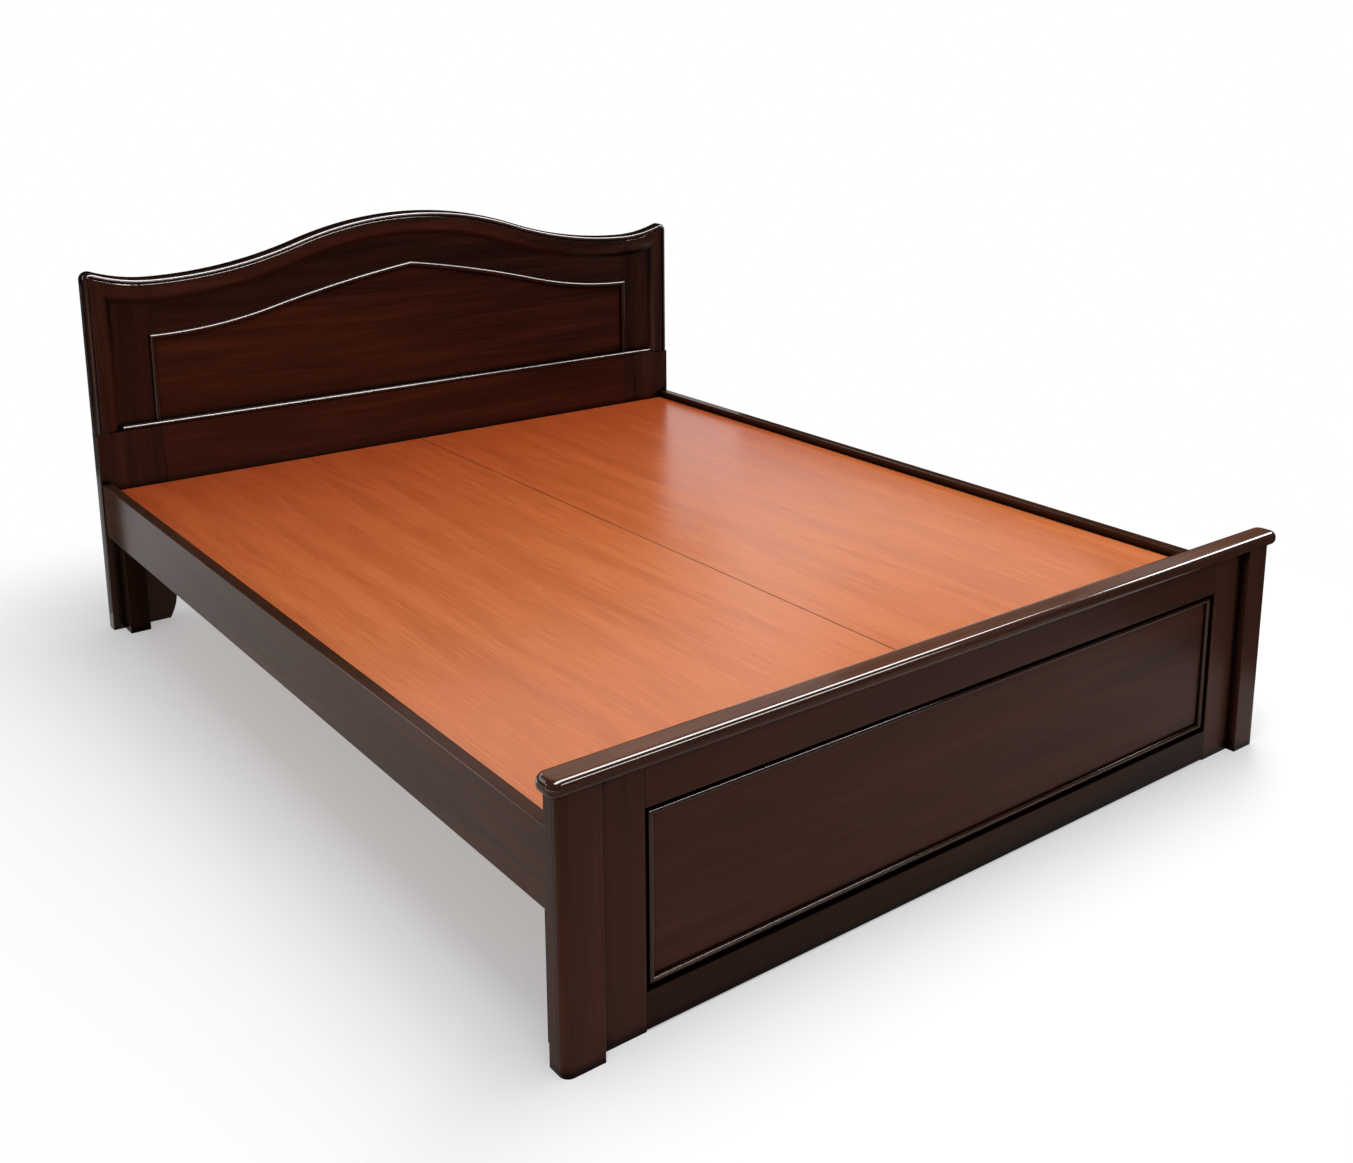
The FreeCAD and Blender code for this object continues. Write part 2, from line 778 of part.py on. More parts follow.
def footboard_beads():
    half = foot_stile_inner - foot_quirk
    low = foot_opening_bottom + foot_quirk
    high = foot_opening_top - foot_quirk
    middle = (low + high) / 2
    straight = math.degrees(2 * quarter)
    square = math.degrees(quarter)
    return {
        "footboard_bead_top": foot_bead(2 * half, 0, high, 0),
        "footboard_bead_bottom": foot_bead(2 * half, 0, low, straight),
        "footboard_bead_left": foot_bead(high - low, -half, middle, square),
        "footboard_bead_right": foot_bead(high - low, half, middle, -square),
    }


def footboard_cap():
    half = half_width + cap_end_overhang
    cap = softened(box(-half, half, cap_front, cap_back, foot_height, cap_top), along_z, cap_corner_radius)
    rims = [edge for edge in cap.Edges if not runs_along(edge, along_z)]
    return cap.makeFillet(cap_edge_radius, rims).cut(cap_dowel_pins(fastener_slack))


# Side rails, corner blocks and the support under the deck
def side_rail():
    rail = box(clear_half, rail_outer, foot_face, head_face, rail_bottom, rail_top)
    rail = softened(rail, along_y, arris_radius)
    radius = insert_radius + fastener_slack
    reach = clear_half + insert_length
    sockets = [rod(clear_half, reach, along, height, radius) for along, height in bolt_places()]
    return drilled(rail.cut(sockets), cleat_screw_places(), cleat_screw_length)


def corner_block(near, far, screw_places):
    block = softened(box(block_inner, clear_half, near, far, 0, deck_under), along_z, arris_radius)
    radius = bolt_radius + fastener_slack
    holes = [rod(block_inner, clear_half, along, height, radius) for along, height in bolt_places()]
    return drilled(block.cut(holes), screw_places, block_screw_length)


def rail_cleat():
    cleat = box(clear_half - cleat_size, clear_half, cleat_foot, cleat_head, cleat_under, batten_under)
    cleat = drilled(cleat, cleat_screw_places(), cleat_screw_length)
    return drilled(cleat, batten_screw_places(), batten_screw_length)


def batten(centre):
    half = clear_half - batten_side_gap
    near = centre - batten_width / 2
    far = centre + batten_width / 2
    board = softened(box(-half, half, near, far, batten_under, deck_under), along_x, arris_radius)
    return drilled(board, on_both_sides(batten_screw_places()), batten_screw_length)


def end_bearer(near, far, screw_places, saddle_places):
    bearer = box(-bearer_end, bearer_end, near, far, bearer_under, deck_under)
    bearer = drilled(bearer, on_both_sides(screw_places), bearer_screw_length)
    return drilled(bearer, on_both_sides(saddle_places), saddle_screw_length)


def centre_beam():
    beam = box(-beam_width / 2, beam_width / 2, beam_foot, beam_head, beam_under, batten_under)
    return softened(beam, along_y, arris_radius).cut(leg_tenon())


def leg_tenon():
    half = leg_tenon_size / 2
    middle = (beam_foot + beam_head) / 2
    return box(-half, half, middle - half, middle + half, beam_under, beam_under + leg_tenon_length)


def centre_leg():
    half = leg_size / 2
    middle = (beam_foot + beam_head) / 2
    leg = box(-half, half, middle - half, middle + half, 0, beam_under)
    return softened(leg, along_z, arris_radius).fuse(leg_tenon())


def beam_saddle(face, way, screw_places):
    inner = beam_width / 2 + saddle_slack
    outer = inner + saddle_plate
    wing = outer + saddle_wing
    low = beam_under - saddle_plate
    high = beam_under + saddle_height
    plate_end = face + way * saddle_plate
    tray_end = face + way * saddle_length
    back = box(-wing, wing, min(face, plate_end), max(face, plate_end), low, high)
    tray = box(-outer, outer, min(face, tray_end), max(face, tray_end), low, high)
    room = box(-inner, inner, min(plate_end, tray_end), max(plate_end, tray_end), beam_under, high)
    saddle = back.fuse(tray).cut(room).removeSplitter()
    return drilled(saddle, on_both_sides(screw_places), saddle_screw_length)


def deck_board():
    near = foot_face + deck_end_gap
    far = head_face - deck_end_gap
    outer = clear_half - deck_side_gap
    board = box(deck_seam_gap / 2, outer, near, far, deck_under, deck_top)
    rims = [edge for edge in board.Edges if abs(edge.CenterOfMass.z - deck_top) < deck_arris_radius]
    return board.makeFillet(deck_arris_radius, rims)


# Every piece by name; the left-hand pieces are mirror images of the right-hand ones
def head_corner_block():
    return corner_block(head_face - corner_block_size, head_face, head_block_screws())


def foot_corner_block():
    return corner_block(foot_face, foot_face + corner_block_size, foot_block_screws())


pairs = {
    "headboard_stile": headboard_stile(),
    "headboard_crest": headboard_crest(),
    "headboard_bead_top": headboard_bead_top(),
    "headboard_bead_side": headboard_bead_side(),
    "footboard_stile": footboard_stile(),
    "footboard_block": footboard_block(),
    "side_rail": side_rail(),
    "corner_block_head": head_corner_block(),
    "corner_block_foot": foot_corner_block(),
    "rail_cleat": rail_cleat(),
    "deck_board": deck_board(),
}
head_bearer_face = head_face - bearer_thickness
foot_bearer_face = foot_face + bearer_thickness
head_saddle = head_saddle_screws()
foot_saddle = foot_saddle_screws()
all_bearer_screws = on_both_sides(head_bearer_screws() + foot_bearer_screws())
all_saddle_screws = on_both_sides(head_saddle + foot_saddle)
all_block_screws = on_both_sides(head_block_screws() + foot_block_screws())
pieces = {
    "headboard_lower_rail": headboard_lower_rail(),
    "headboard_panel": headboard_panel(),
    "headboard_crest_spline": crest_spline(),
    "headboard_bead_ledge": headboard_bead_ledge(),
    "footboard_top_rail": footboard_top_rail(),
    "footboard_bottom_rail": footboard_bottom_rail(),
    "footboard_panel": footboard_panel(),
    "footboard_cap": footboard_cap(),
    "footboard_cap_dowels": Part.makeCompound(cap_dowel_pins(0)),
    "end_bearer_head": end_bearer(head_bearer_face, head_face, head_bearer_screws(), head_saddle),
    "end_bearer_foot": end_bearer(foot_face, foot_bearer_face, foot_bearer_screws(), foot_saddle),
    "centre_beam": centre_beam(),
    "centre_leg": centre_leg(),
    "beam_saddle_head": beam_saddle(head_bearer_face, -1, head_saddle),
    "beam_saddle_foot": beam_saddle(foot_bearer_face, 1, foot_saddle),
    "bed_bolts": bed_bolts(),
    "bed_bolt_washers": bed_bolt_washers(),
    "threaded_inserts": threaded_inserts(),
    "cleat_screws": screws(on_both_sides(cleat_screw_places()), cleat_screw_length),
    "batten_screws": screws(on_both_sides(batten_screw_places()), batten_screw_length),
    "bearer_screws": screws(all_bearer_screws, bearer_screw_length),
    "saddle_screws": screws(all_saddle_screws, saddle_screw_length),
    "corner_block_screws": screws(all_block_screws, block_screw_length),
}
pieces.update(footboard_beads())
for name, shape in pairs.items():
    pieces[name + "_right"] = shape
    pieces[name + "_left"] = mirrored(shape)
for number, centre in enumerate(batten_centres(), start=1):
    pieces["batten_%d" % number] = batten(centre)

os.makedirs("parts", exist_ok=True)
for name, shape in pieces.items():
    shape.exportStep("parts/" + name + ".step")
    print(name, len(shape.Solids), shape.isValid(), round(shape.Volume))
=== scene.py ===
# %% [markdown]
# A wooden bed, dressed for a studio picture.
# The bed comes from a CAD model that is loaded as a fixed frame, in metres, with every piece in its place.
# This lesson gives each piece its finish, makes the beads, battens and fasteners anew with Geometry Nodes,
# and then sets up the floor, the light and the camera.

# %% Load the frame and keep its box
import json
import math

import bmesh
import bpy
from mathutils import Matrix, Vector


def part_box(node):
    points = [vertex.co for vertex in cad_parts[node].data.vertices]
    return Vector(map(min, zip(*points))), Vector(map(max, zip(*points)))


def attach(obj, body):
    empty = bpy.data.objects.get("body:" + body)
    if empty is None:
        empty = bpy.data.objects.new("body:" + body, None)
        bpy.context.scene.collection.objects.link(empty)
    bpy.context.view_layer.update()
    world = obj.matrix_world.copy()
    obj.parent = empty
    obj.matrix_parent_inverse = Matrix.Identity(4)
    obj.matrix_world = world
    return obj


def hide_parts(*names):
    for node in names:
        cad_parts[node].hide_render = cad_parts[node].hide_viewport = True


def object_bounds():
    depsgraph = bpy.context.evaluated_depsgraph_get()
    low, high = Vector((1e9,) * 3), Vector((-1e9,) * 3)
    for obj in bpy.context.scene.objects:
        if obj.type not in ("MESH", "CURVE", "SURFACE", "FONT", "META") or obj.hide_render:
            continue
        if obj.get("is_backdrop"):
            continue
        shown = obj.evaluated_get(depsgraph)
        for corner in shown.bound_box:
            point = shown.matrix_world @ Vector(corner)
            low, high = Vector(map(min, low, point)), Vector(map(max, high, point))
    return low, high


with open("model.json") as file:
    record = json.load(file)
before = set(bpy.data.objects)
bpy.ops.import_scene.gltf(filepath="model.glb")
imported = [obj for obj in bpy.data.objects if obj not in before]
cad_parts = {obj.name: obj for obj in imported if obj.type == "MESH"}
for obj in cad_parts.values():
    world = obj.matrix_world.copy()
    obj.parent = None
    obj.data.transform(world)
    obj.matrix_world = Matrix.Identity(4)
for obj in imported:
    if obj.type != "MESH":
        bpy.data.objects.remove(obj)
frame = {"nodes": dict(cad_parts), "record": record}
cad_low, cad_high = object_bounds()
nodes = frame["nodes"]
slots = {row["node"]: row["material_slot"] for row in frame["record"]["subparts"]}
scene = bpy.context.scene
MM = 0.001
print("CAD nodes:", len(nodes), "size in mm:", [round(side / MM) for side in cad_high - cad_low])

# %% [markdown]
# Colours are written as the hex values that a colour picker shows. Shaders count light in linear steps,
# so one function turns a hex value into linear parts. A second small function adds a node to any node
# tree, sets its values and links its inputs, so that a whole tree can be read from top to bottom.

# %% Colour and node helpers
def shade(hex_value):
    """The linear colour of an sRGB hex value."""
    parts = [int(hex_value[i:i + 2], 16) / 255 for i in (1, 3, 5)]
    return [p / 12.92 if p <= 0.04045 else ((p + 0.055) / 1.055) ** 2.4 for p in parts] + [1.0]


def add(tree, kind, settings=None, **inputs):
    """Adds a node. Settings are its own values. An input is a value or a socket to link, by name or as _0."""
    node = tree.nodes.new(kind)
    for name, value in (settings or {}).items():
        setattr(node, name, value)
    for name, value in inputs.items():
        key = int(name[1:]) if name[1:].isdigit() else name.replace("_", " ")
        socket = node.inputs[key]
        if isinstance(value, bpy.types.NodeSocket):
            tree.links.new(value, socket)
        else:
            socket.default_value = value
    return node


def new_material(name, **constants):
    """A material with one shader. The constants are set on the shader's own sockets."""
    material = bpy.data.materials.new(name)
    material.use_nodes = True
    tree = material.node_tree
    tree.nodes.clear()
    shader = add(tree, "ShaderNodeBsdfPrincipled", **constants)
    add(tree, "ShaderNodeOutputMaterial", Surface=shader.outputs["BSDF"])
    return material, tree, shader


print("a mid brown in linear light:", [round(part, 4) for part in shade("#6B4A3A")])

# %% [markdown]
# Wood is drawn by two noises that are stretched along the grain: a fine one for the fibres and pores, and
# a slow one for the figure. Their sum runs through a colour ramp. The slow noise also moves the gloss a
# little, because a sprayed coat is never quite even, and the pores dent the surface.
# An image of wood could do it too, but noise in Object coordinates has no seams and keeps its real size.
# Real fibres are too fine to show from here, so they are drawn as coarse as they need to show.

# %% Wood grain
FIBRE = (2.4 * MM, 110 * MM)
FIGURE = (38 * MM, 620 * MM)
FIBRE_SHARE = 0.42
TONES_AT = (0.36, 0.51, 0.66)
GLOSS_SPREAD = 0.2
PORE_DEPTH = 0.04 * MM


def along(grain, pattern):
    """Scale of a pattern of that width across the grain and that length along it."""
    width, length = pattern
    return [1 / (length if axis == grain else width) for axis in "XYZ"]


def draw_grain(tree, shader, grain, colours, roughness, fibre=FIBRE, figure=FIGURE, bump=0.3,
               share=FIBRE_SHARE):
    """Colour, gloss and pores of a board whose grain runs along one axis. Returns the colour."""
    place = add(tree, "ShaderNodeTexCoord").outputs["Object"]
    fine_place = add(tree, "ShaderNodeMapping", Vector=place, Scale=along(grain, fibre))
    slow_place = add(tree, "ShaderNodeMapping", Vector=place, Scale=along(grain, figure))
    fine = add(tree, "ShaderNodeTexNoise", Vector=fine_place.outputs[0], Scale=1.0, Detail=4.0,
               Roughness=0.6)
    slow = add(tree, "ShaderNodeTexNoise", Vector=slow_place.outputs[0], Scale=1.0, Detail=3.0,
               Distortion=0.7)
    mix = add(tree, "ShaderNodeMix", Factor=share, A=slow.outputs["Fac"], B=fine.outputs["Fac"])
    ramp = add(tree, "ShaderNodeValToRGB", Fac=mix.outputs[0])
    ramp.color_ramp.elements.new(TONES_AT[1])
    for element, position, colour in zip(ramp.color_ramp.elements, TONES_AT, colours):
        element.position = position
        element.color = shade(colour)
    gloss = add(tree, "ShaderNodeMapRange", Value=slow.outputs["Fac"],
                To_Min=roughness * (1 - GLOSS_SPREAD), To_Max=roughness * (1 + GLOSS_SPREAD))
    pores = add(tree, "ShaderNodeBump", Strength=bump, Distance=PORE_DEPTH, Height=fine.outputs["Fac"])
    tree.links.new(ramp.outputs["Color"], shader.inputs["Base Color"])
    tree.links.new(gloss.outputs[0], shader.inputs["Roughness"])
    tree.links.new(pores.outputs[0], shader.inputs["Normal"])
    return ramp.outputs["Color"]


print("fibres", [size / MM for size in FIBRE], "and figure", [size / MM for size in FIGURE], "in mm")

# %% [markdown]
# The show wood is a hardwood with a dark walnut stain under lacquer. To the eye that is a nearly black
# brown with warm red streaks. The headboard is polished: its frame is almost black, and its wide boards took
# the stain more thinly and are redder. The rails are brushed with a browner toned gloss, and the cap and
# the footboard's beads with a darker one. The footboard's boards are rubbed down to a satin, darkest on
# its bottom rail. Each board's grain follows its length, so a finish comes in three directions.
# In coves, quirks and inner corners the colour is darkened. This is painted shade, and it draws the
# mouldings.
# Ambient Occlusion finds those hollows by how much wood stands close around a point.

# %% Stained and lacquered hardwood, with painted shade in the hollows
LACQUER_IOR = 1.48
SHADE_REACH = 26 * MM
SHADE_SAMPLES = 12
DEEPEST_SHADE = 0.08
HOLLOW, OPEN = 0.58, 0.92
SOFT_STEP = {"interpolation_type": "SMOOTHSTEP"}


def paint_light_level(tree, level):
    """Multiplies a finish's colour: below 1 it paints shade, above 1 it paints light."""
    base = tree.nodes["Principled BSDF"].inputs["Base Color"]
    colour = base.links[0].from_socket
    scaled = add(tree, "ShaderNodeVectorMath", {"operation": "SCALE"}, _0=colour, Scale=level)
    tree.links.new(scaled.outputs[0], base)


def paint_hollow_shade(tree):
    """Paints shade: darkens the base colour in the hollows."""
    room = add(tree, "ShaderNodeAmbientOcclusion", {"samples": SHADE_SAMPLES}, Distance=SHADE_REACH)
    hollow_shade = add(tree, "ShaderNodeMapRange", SOFT_STEP, Value=room.outputs["AO"], From_Min=HOLLOW,
                From_Max=OPEN, To_Min=DEEPEST_SHADE)
    paint_light_level(tree, hollow_shade.outputs[0])


def stained(name, colours, roughness, **constants):
    """One finish for boards along X, Y and Z."""
    finishes = {}
    for grain in "XYZ":
        material_name = "walnut_stain_%s_%s" % (name, grain.lower())
        finishes[grain], tree, shader = new_material(material_name, IOR=LACQUER_IOR, **constants)
        draw_grain(tree, shader, grain, colours, roughness)
        # Painted shade in this finish's hollows.
        paint_hollow_shade(tree)
    print(name, "in", ", ".join(finishes))
    return finishes


WARM_SHINE, BROWN_SHINE = shade("#E0B8A0"), shade("#B88468")
polished = stained("polished_lacquer", ("#170A07", "#22100B", "#31160E"), roughness=0.24,
                   Specular_IOR_Level=0.4, Specular_Tint=WARM_SHINE, Coat_Roughness=0.16, Coat_IOR=2.5)
beaded = stained("polished_lacquer_beads", ("#1C0D09", "#28130D", "#371911"), roughness=0.24,
                 Specular_IOR_Level=0.4, Specular_Tint=WARM_SHINE, Coat_Roughness=0.14, Coat_IOR=2.8)
reddish = stained("polished_lacquer_thin", ("#1E0B07", "#2C110A", "#3D180D"), roughness=0.24,
                  Specular_IOR_Level=0.5, Specular_Tint=WARM_SHINE, Coat_Roughness=0.08, Coat_IOR=2.0)
toned = stained("toned_gloss", ("#3A2318", "#472B1D", "#543423"), roughness=0.16,
                Specular_IOR_Level=0.06, Specular_Tint=BROWN_SHINE, Coat_Roughness=0.08, Coat_IOR=2.0)
deep_toned = stained("toned_gloss_deep", ("#2E1C13", "#382219", "#442B1F"), roughness=0.16,
                     Specular_IOR_Level=0.12, Specular_Tint=BROWN_SHINE, Coat_Roughness=0.1, Coat_IOR=2.0)
satin = stained("satin_lacquer", ("#351F17", "#3D231A", "#46291E"), roughness=0.3,
                Specular_IOR_Level=0.08, Specular_Tint=BROWN_SHINE)
deep_satin = stained("satin_lacquer_deep", ("#22130C", "#2A1810", "#331E15"), roughness=0.3,
                     Specular_IOR_Level=0.06, Specular_Tint=BROWN_SHINE)

# %% [markdown]
# The headboard's moulded band is made lighter, which is painted light, and the cove behind it is darkened,
# which is painted shade. The sunk field inside keeps its colour. All three belong to the same boards, and the
# depth behind the headboard's face tells them apart.

# %% Painted light on the band, painted shade in the cove, plain sunk field
BAND_EDGE = (5 * MM, 8.5 * MM)
FIELD_EDGE = (13.0 * MM, 13.9 * MM)
BAND_LIGHT, COVE_SHADE = 1.4, 0.15
head_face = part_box("headboard_stile_left")[0].y
for finish in polished.values():
    tree = finish.node_tree
    depth = add(tree, "ShaderNodeSeparateXYZ", Vector=add(tree, "ShaderNodeTexCoord").outputs["Object"])
    # Painted light on the band's face, then painted shade in the cove behind it.
    lit_band = add(tree, "ShaderNodeMapRange", SOFT_STEP, Value=depth.outputs["Y"], To_Min=BAND_LIGHT, To_Max=COVE_SHADE,
               From_Min=head_face + BAND_EDGE[0], From_Max=head_face + BAND_EDGE[1])
    field = add(tree, "ShaderNodeMapRange", SOFT_STEP, Value=depth.outputs["Y"],
                From_Min=head_face + FIELD_EDGE[0], From_Max=head_face + FIELD_EDGE[1])
    level = add(tree, "ShaderNodeMath", {"operation": "MAXIMUM"}, _0=lit_band.outputs[0], _1=field.outputs[0])
    paint_light_level(tree, level.outputs[0])
print("headboard face at", round(head_face / MM, 1), "mm")

# %% [markdown]
# The cap's flat top is made lighter, which is a painted sheen, and the rails' flat tops darker, which is a
# painted shade. The part of the normal that points up tells a top from the other faces.

# %% Painted sheen on the cap's top, painted shade on the rails' tops
TOP = (0.9, 0.99)
TOP_SHEEN, TOP_SHADE = 2.2, 0.6
# Painted light on flat tops: the cap's gets lighter, the rails' darker.
for finishes, top_light in ((deep_toned, TOP_SHEEN), (toned, TOP_SHADE)):
    for finish in finishes.values():
        tree = finish.node_tree
        normal = add(tree, "ShaderNodeNewGeometry").outputs["Normal"]
        facing = add(tree, "ShaderNodeSeparateXYZ", Vector=normal)
        level = add(tree, "ShaderNodeMapRange", SOFT_STEP, Value=facing.outputs["Z"], From_Min=TOP[0],
                    From_Max=TOP[1], To_Min=1.0, To_Max=top_light)
        paint_light_level(tree, level.outputs[0])
    print("tops at", top_light, "on", [finish.name for finish in finishes.values()])

# %% [markdown]
# Cloths and hands burnish a moulding's rounds far more than its flats, and that is what draws a white line
# along every bead, roll and arris. The clear film is the shader's Coat. It lies on the rounds that tilt
# upwards and, thinner, on upright rounds. The surface normal tells them from the flats: a flat faces
# along one axis.

# %% Burnished rounds
FLAT = (0.955, 0.99)
TILT = (0.02, 0.30)
UNDERSIDE = (-0.1, 0.0)
UPRIGHT_FILM = 0.1


def burnish(finishes):
    """Lays the coat on rounds that tilt upwards, and a thinner one on upright rounds."""
    for finish in finishes.values():
        tree = finish.node_tree
        normal = add(tree, "ShaderNodeNewGeometry").outputs["Normal"]
        tilt = add(tree, "ShaderNodeSeparateXYZ", Vector=normal).outputs["Z"]
        facing = add(tree, "ShaderNodeVectorMath", {"operation": "ABSOLUTE"}, _0=normal)
        facing = add(tree, "ShaderNodeSeparateXYZ", Vector=facing.outputs[0]).outputs
        film = 1.0
        for value, (low, high), (at_low, at_high) in (
                (tilt, UNDERSIDE, (0.0, 1.0)), (tilt, TILT, (UPRIGHT_FILM, 1.0)),
                (facing["X"], FLAT, (1.0, 0.0)), (facing["Y"], FLAT, (1.0, 0.0)),
                (facing["Z"], FLAT, (1.0, 0.0))):
            share = add(tree, "ShaderNodeMapRange", SOFT_STEP, Value=value, From_Min=low, From_Max=high,
                        To_Min=at_low, To_Max=at_high).outputs[0]
            film = add(tree, "ShaderNodeMath", {"operation": "MULTIPLY"}, _0=film, _1=share).outputs[0]
        tree.links.new(film, tree.nodes["Principled BSDF"].inputs["Coat Weight"])
    print("burnished:", [finish.name for finish in finishes.values()])


for finishes in (polished, beaded, reddish, toned, deep_toned):
    burnish(finishes)

# %% [markdown]
# The deck boards are plywood with an orange-brown face veneer under a satin coat. Its streaks are long,
# fine and soft. Towards the headboard its colour is multiplied to a deeper red: painted shade with the
# headboard's red reflection. Dust and polish settle along the seam between the boards and darken it. On the
# cut edges the plies show as thin light and dark layers, so the edge colour is drawn from the height alone,
# and the surface normal chooses between face and edge.

# %% Veneered plywood
VENEER = ("#AE5A2D", "#BD6736", "#C97342")
VENEER_FIBRE = (4 * MM, 150 * MM)
VENEER_FIGURE = (55 * MM, 900 * MM)
HEAD_SHADE_SPAN = (-0.2, 0.85)
PAINTED_HEAD_SHADE = "#F2C8B6"
SEAM = (1.0 * MM, 2.0 * MM)
SEAM_SHADE = 0.3
PLY = 2.0 * MM
PLY_COLOURS = ("#8F5E38", "#C79A6B")
PLY_BLEND = (0.42, 0.58)
EDGE_TILT = 0.2
veneer, tree, shader = new_material("satin_veneered_plywood", IOR=1.5)
streaks = draw_grain(tree, shader, "Y", VENEER, roughness=0.27, fibre=VENEER_FIBRE, figure=VENEER_FIGURE,
                     bump=0.06, share=0.6)
spot = add(tree, "ShaderNodeSeparateXYZ", Vector=add(tree, "ShaderNodeTexCoord").outputs["Object"])
# Painted shade with the headboard's red reflection, deepest by the headboard.
head_shade = add(tree, "ShaderNodeMapRange", Value=spot.outputs["Y"], From_Min=HEAD_SHADE_SPAN[0],
              From_Max=HEAD_SHADE_SPAN[1])
face = add(tree, "ShaderNodeMix", {"data_type": "RGBA", "blend_type": "MULTIPLY"}, _0=head_shade.outputs[0],
           _6=streaks, _7=shade(PAINTED_HEAD_SHADE))
beside = add(tree, "ShaderNodeMath", {"operation": "ABSOLUTE"}, _0=spot.outputs["X"])
dust = add(tree, "ShaderNodeMapRange", SOFT_STEP, Value=beside.outputs[0], From_Min=SEAM[0],
           From_Max=SEAM[1], To_Min=SEAM_SHADE)
face = add(tree, "ShaderNodeVectorMath", {"operation": "SCALE"}, _0=face.outputs[2], Scale=dust.outputs[0])
layer = add(tree, "ShaderNodeMath", {"operation": "PINGPONG"}, _0=spot.outputs["Z"], _1=PLY)
depth = add(tree, "ShaderNodeMapRange", Value=layer.outputs[0], From_Max=PLY)
plies = add(tree, "ShaderNodeValToRGB", Fac=depth.outputs[0])
for element, position, colour in zip(plies.color_ramp.elements, PLY_BLEND, PLY_COLOURS):
    element.position = position
    element.color = shade(colour)
normal = add(tree, "ShaderNodeNewGeometry").outputs["True Normal"]
facing = add(tree, "ShaderNodeSeparateXYZ", Vector=normal)
flatness = add(tree, "ShaderNodeMath", {"operation": "ABSOLUTE"}, _0=facing.outputs["Z"])
on_edge = add(tree, "ShaderNodeMath", {"operation": "LESS_THAN"}, _0=flatness.outputs[0], _1=EDGE_TILT)
surface = add(tree, "ShaderNodeMix", {"data_type": "RGBA"}, _0=on_edge.outputs[0], _6=face.outputs[0],
              _7=plies.outputs["Color"])
tree.links.new(surface.outputs[2], shader.inputs["Base Color"])
print("plies of", PLY / MM, "mm")

# %% [markdown]
# Everything under the deck is plain planed softwood, left bare: pale yellow brown, dull, with wider growth
# bands. The dowels and the loose spline are beech, which is pinker and even, with short flecks.

# %% Bare timber
BARE_IOR = 1.45
PINE_GRAIN = {"colours": ("#A87B4A", "#C39A66", "#D6B282"), "roughness": 0.6, "fibre": (3 * MM, 160 * MM),
              "figure": (16 * MM, 700 * MM), "bump": 0.5}
pine = {}
for grain in "XYZ":
    pine[grain], tree, shader = new_material("bare_planed_pine_" + grain.lower(), IOR=BARE_IOR)
    draw_grain(tree, shader, grain, **PINE_GRAIN)
beech, tree, shader = new_material("turned_beech", IOR=BARE_IOR)
draw_grain(tree, shader, "Z", ("#B48A62", "#C79F76", "#D2AE88"), roughness=0.5, fibre=(1.2 * MM, 14 * MM),
           figure=(14 * MM, 200 * MM))
print("bare timber:", [finish.name for finish in pine.values()], beech.name)

# %% [markdown]
# The saddles are galvanised steel and the fasteners zinc-plated steel. Galvanising freezes into large
# dull crystals, which a cell pattern gives; plating is finer and brighter, with a cloudy gloss.

# %% Zinc on steel
SPANGLE = 9 * MM
CLOUD = 4 * MM


def coat_metal(tree, shader, pattern, colours, gloss):
    """Colour and roughness that both follow a pattern."""
    ramp = add(tree, "ShaderNodeValToRGB", Fac=pattern)
    for element, colour in zip(ramp.color_ramp.elements, colours):
        element.color = shade(colour)
    tree.links.new(ramp.outputs["Color"], shader.inputs["Base Color"])
    spread = add(tree, "ShaderNodeMapRange", Value=pattern, To_Min=gloss[0], To_Max=gloss[1])
    tree.links.new(spread.outputs[0], shader.inputs["Roughness"])


galvanised, tree, shader = new_material("galvanised_steel", Metallic=1.0)
place = add(tree, "ShaderNodeTexCoord").outputs["Object"]
crystal = add(tree, "ShaderNodeTexVoronoi", Vector=place, Scale=1 / SPANGLE)
grey = add(tree, "ShaderNodeSeparateColor", Color=crystal.outputs["Color"])
coat_metal(tree, shader, grey.outputs[0], ("#8E9296", "#B4B8BA"), gloss=(0.36, 0.52))
plated, tree, shader = new_material("zinc_plated_steel", Metallic=1.0)
place = add(tree, "ShaderNodeTexCoord").outputs["Object"]
cloud = add(tree, "ShaderNodeTexNoise", Vector=place, Scale=1 / CLOUD)
coat_metal(tree, shader, cloud.outputs["Fac"], ("#A9ABAE", "#C9CBCD"), gloss=(0.22, 0.36))
print("metals:", galvanised.name, plated.name)

# %% [markdown]
# Each CAD node now takes its finish from its slot, with the grain along its longest side.

# %% Finishes on the CAD nodes
def longest_axis(name):
    """The axis along which a CAD node is longest."""
    low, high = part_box(name)
    size = high - low
    return "XYZ"[max(range(3), key=lambda axis: size[axis])]


DARK = {"side_rail": toned, "corner_block": deep_satin,
        "footboard_cap": deep_toned, "footboard_bead": deep_toned,
        "footboard_bottom_rail": deep_satin, "footboard": satin,
        "headboard_panel": reddish, "headboard_lower_rail": reddish,
        "headboard_bead": beaded, "headboard": polished}
for name, node in nodes.items():
    grain = longest_axis(name)
    dark = next((finishes for start, finishes in DARK.items() if name.startswith(start)), polished)[grain]
    finish = {
        "dark_lacquered_wood": dark, "dark_lacquered_panel": dark, "deck_plywood": veneer,
        "support_timber": pine[grain], "beech_joinery": beech, "bracket_steel": galvanised,
        "fastener_zinc": plated}[slots[name]]
    node.data.materials.clear()
    node.data.materials.append(finish)
print("finished nodes:", len(nodes))

# %% [markdown]
# A Geometry Nodes tree makes the pieces that repeat or follow a line. This helper puts a tree on a seed
# object, sets its named sizes by their sockets' identifiers, and keeps the result as a plain mesh, because
# the exported model can't hold a live tree.

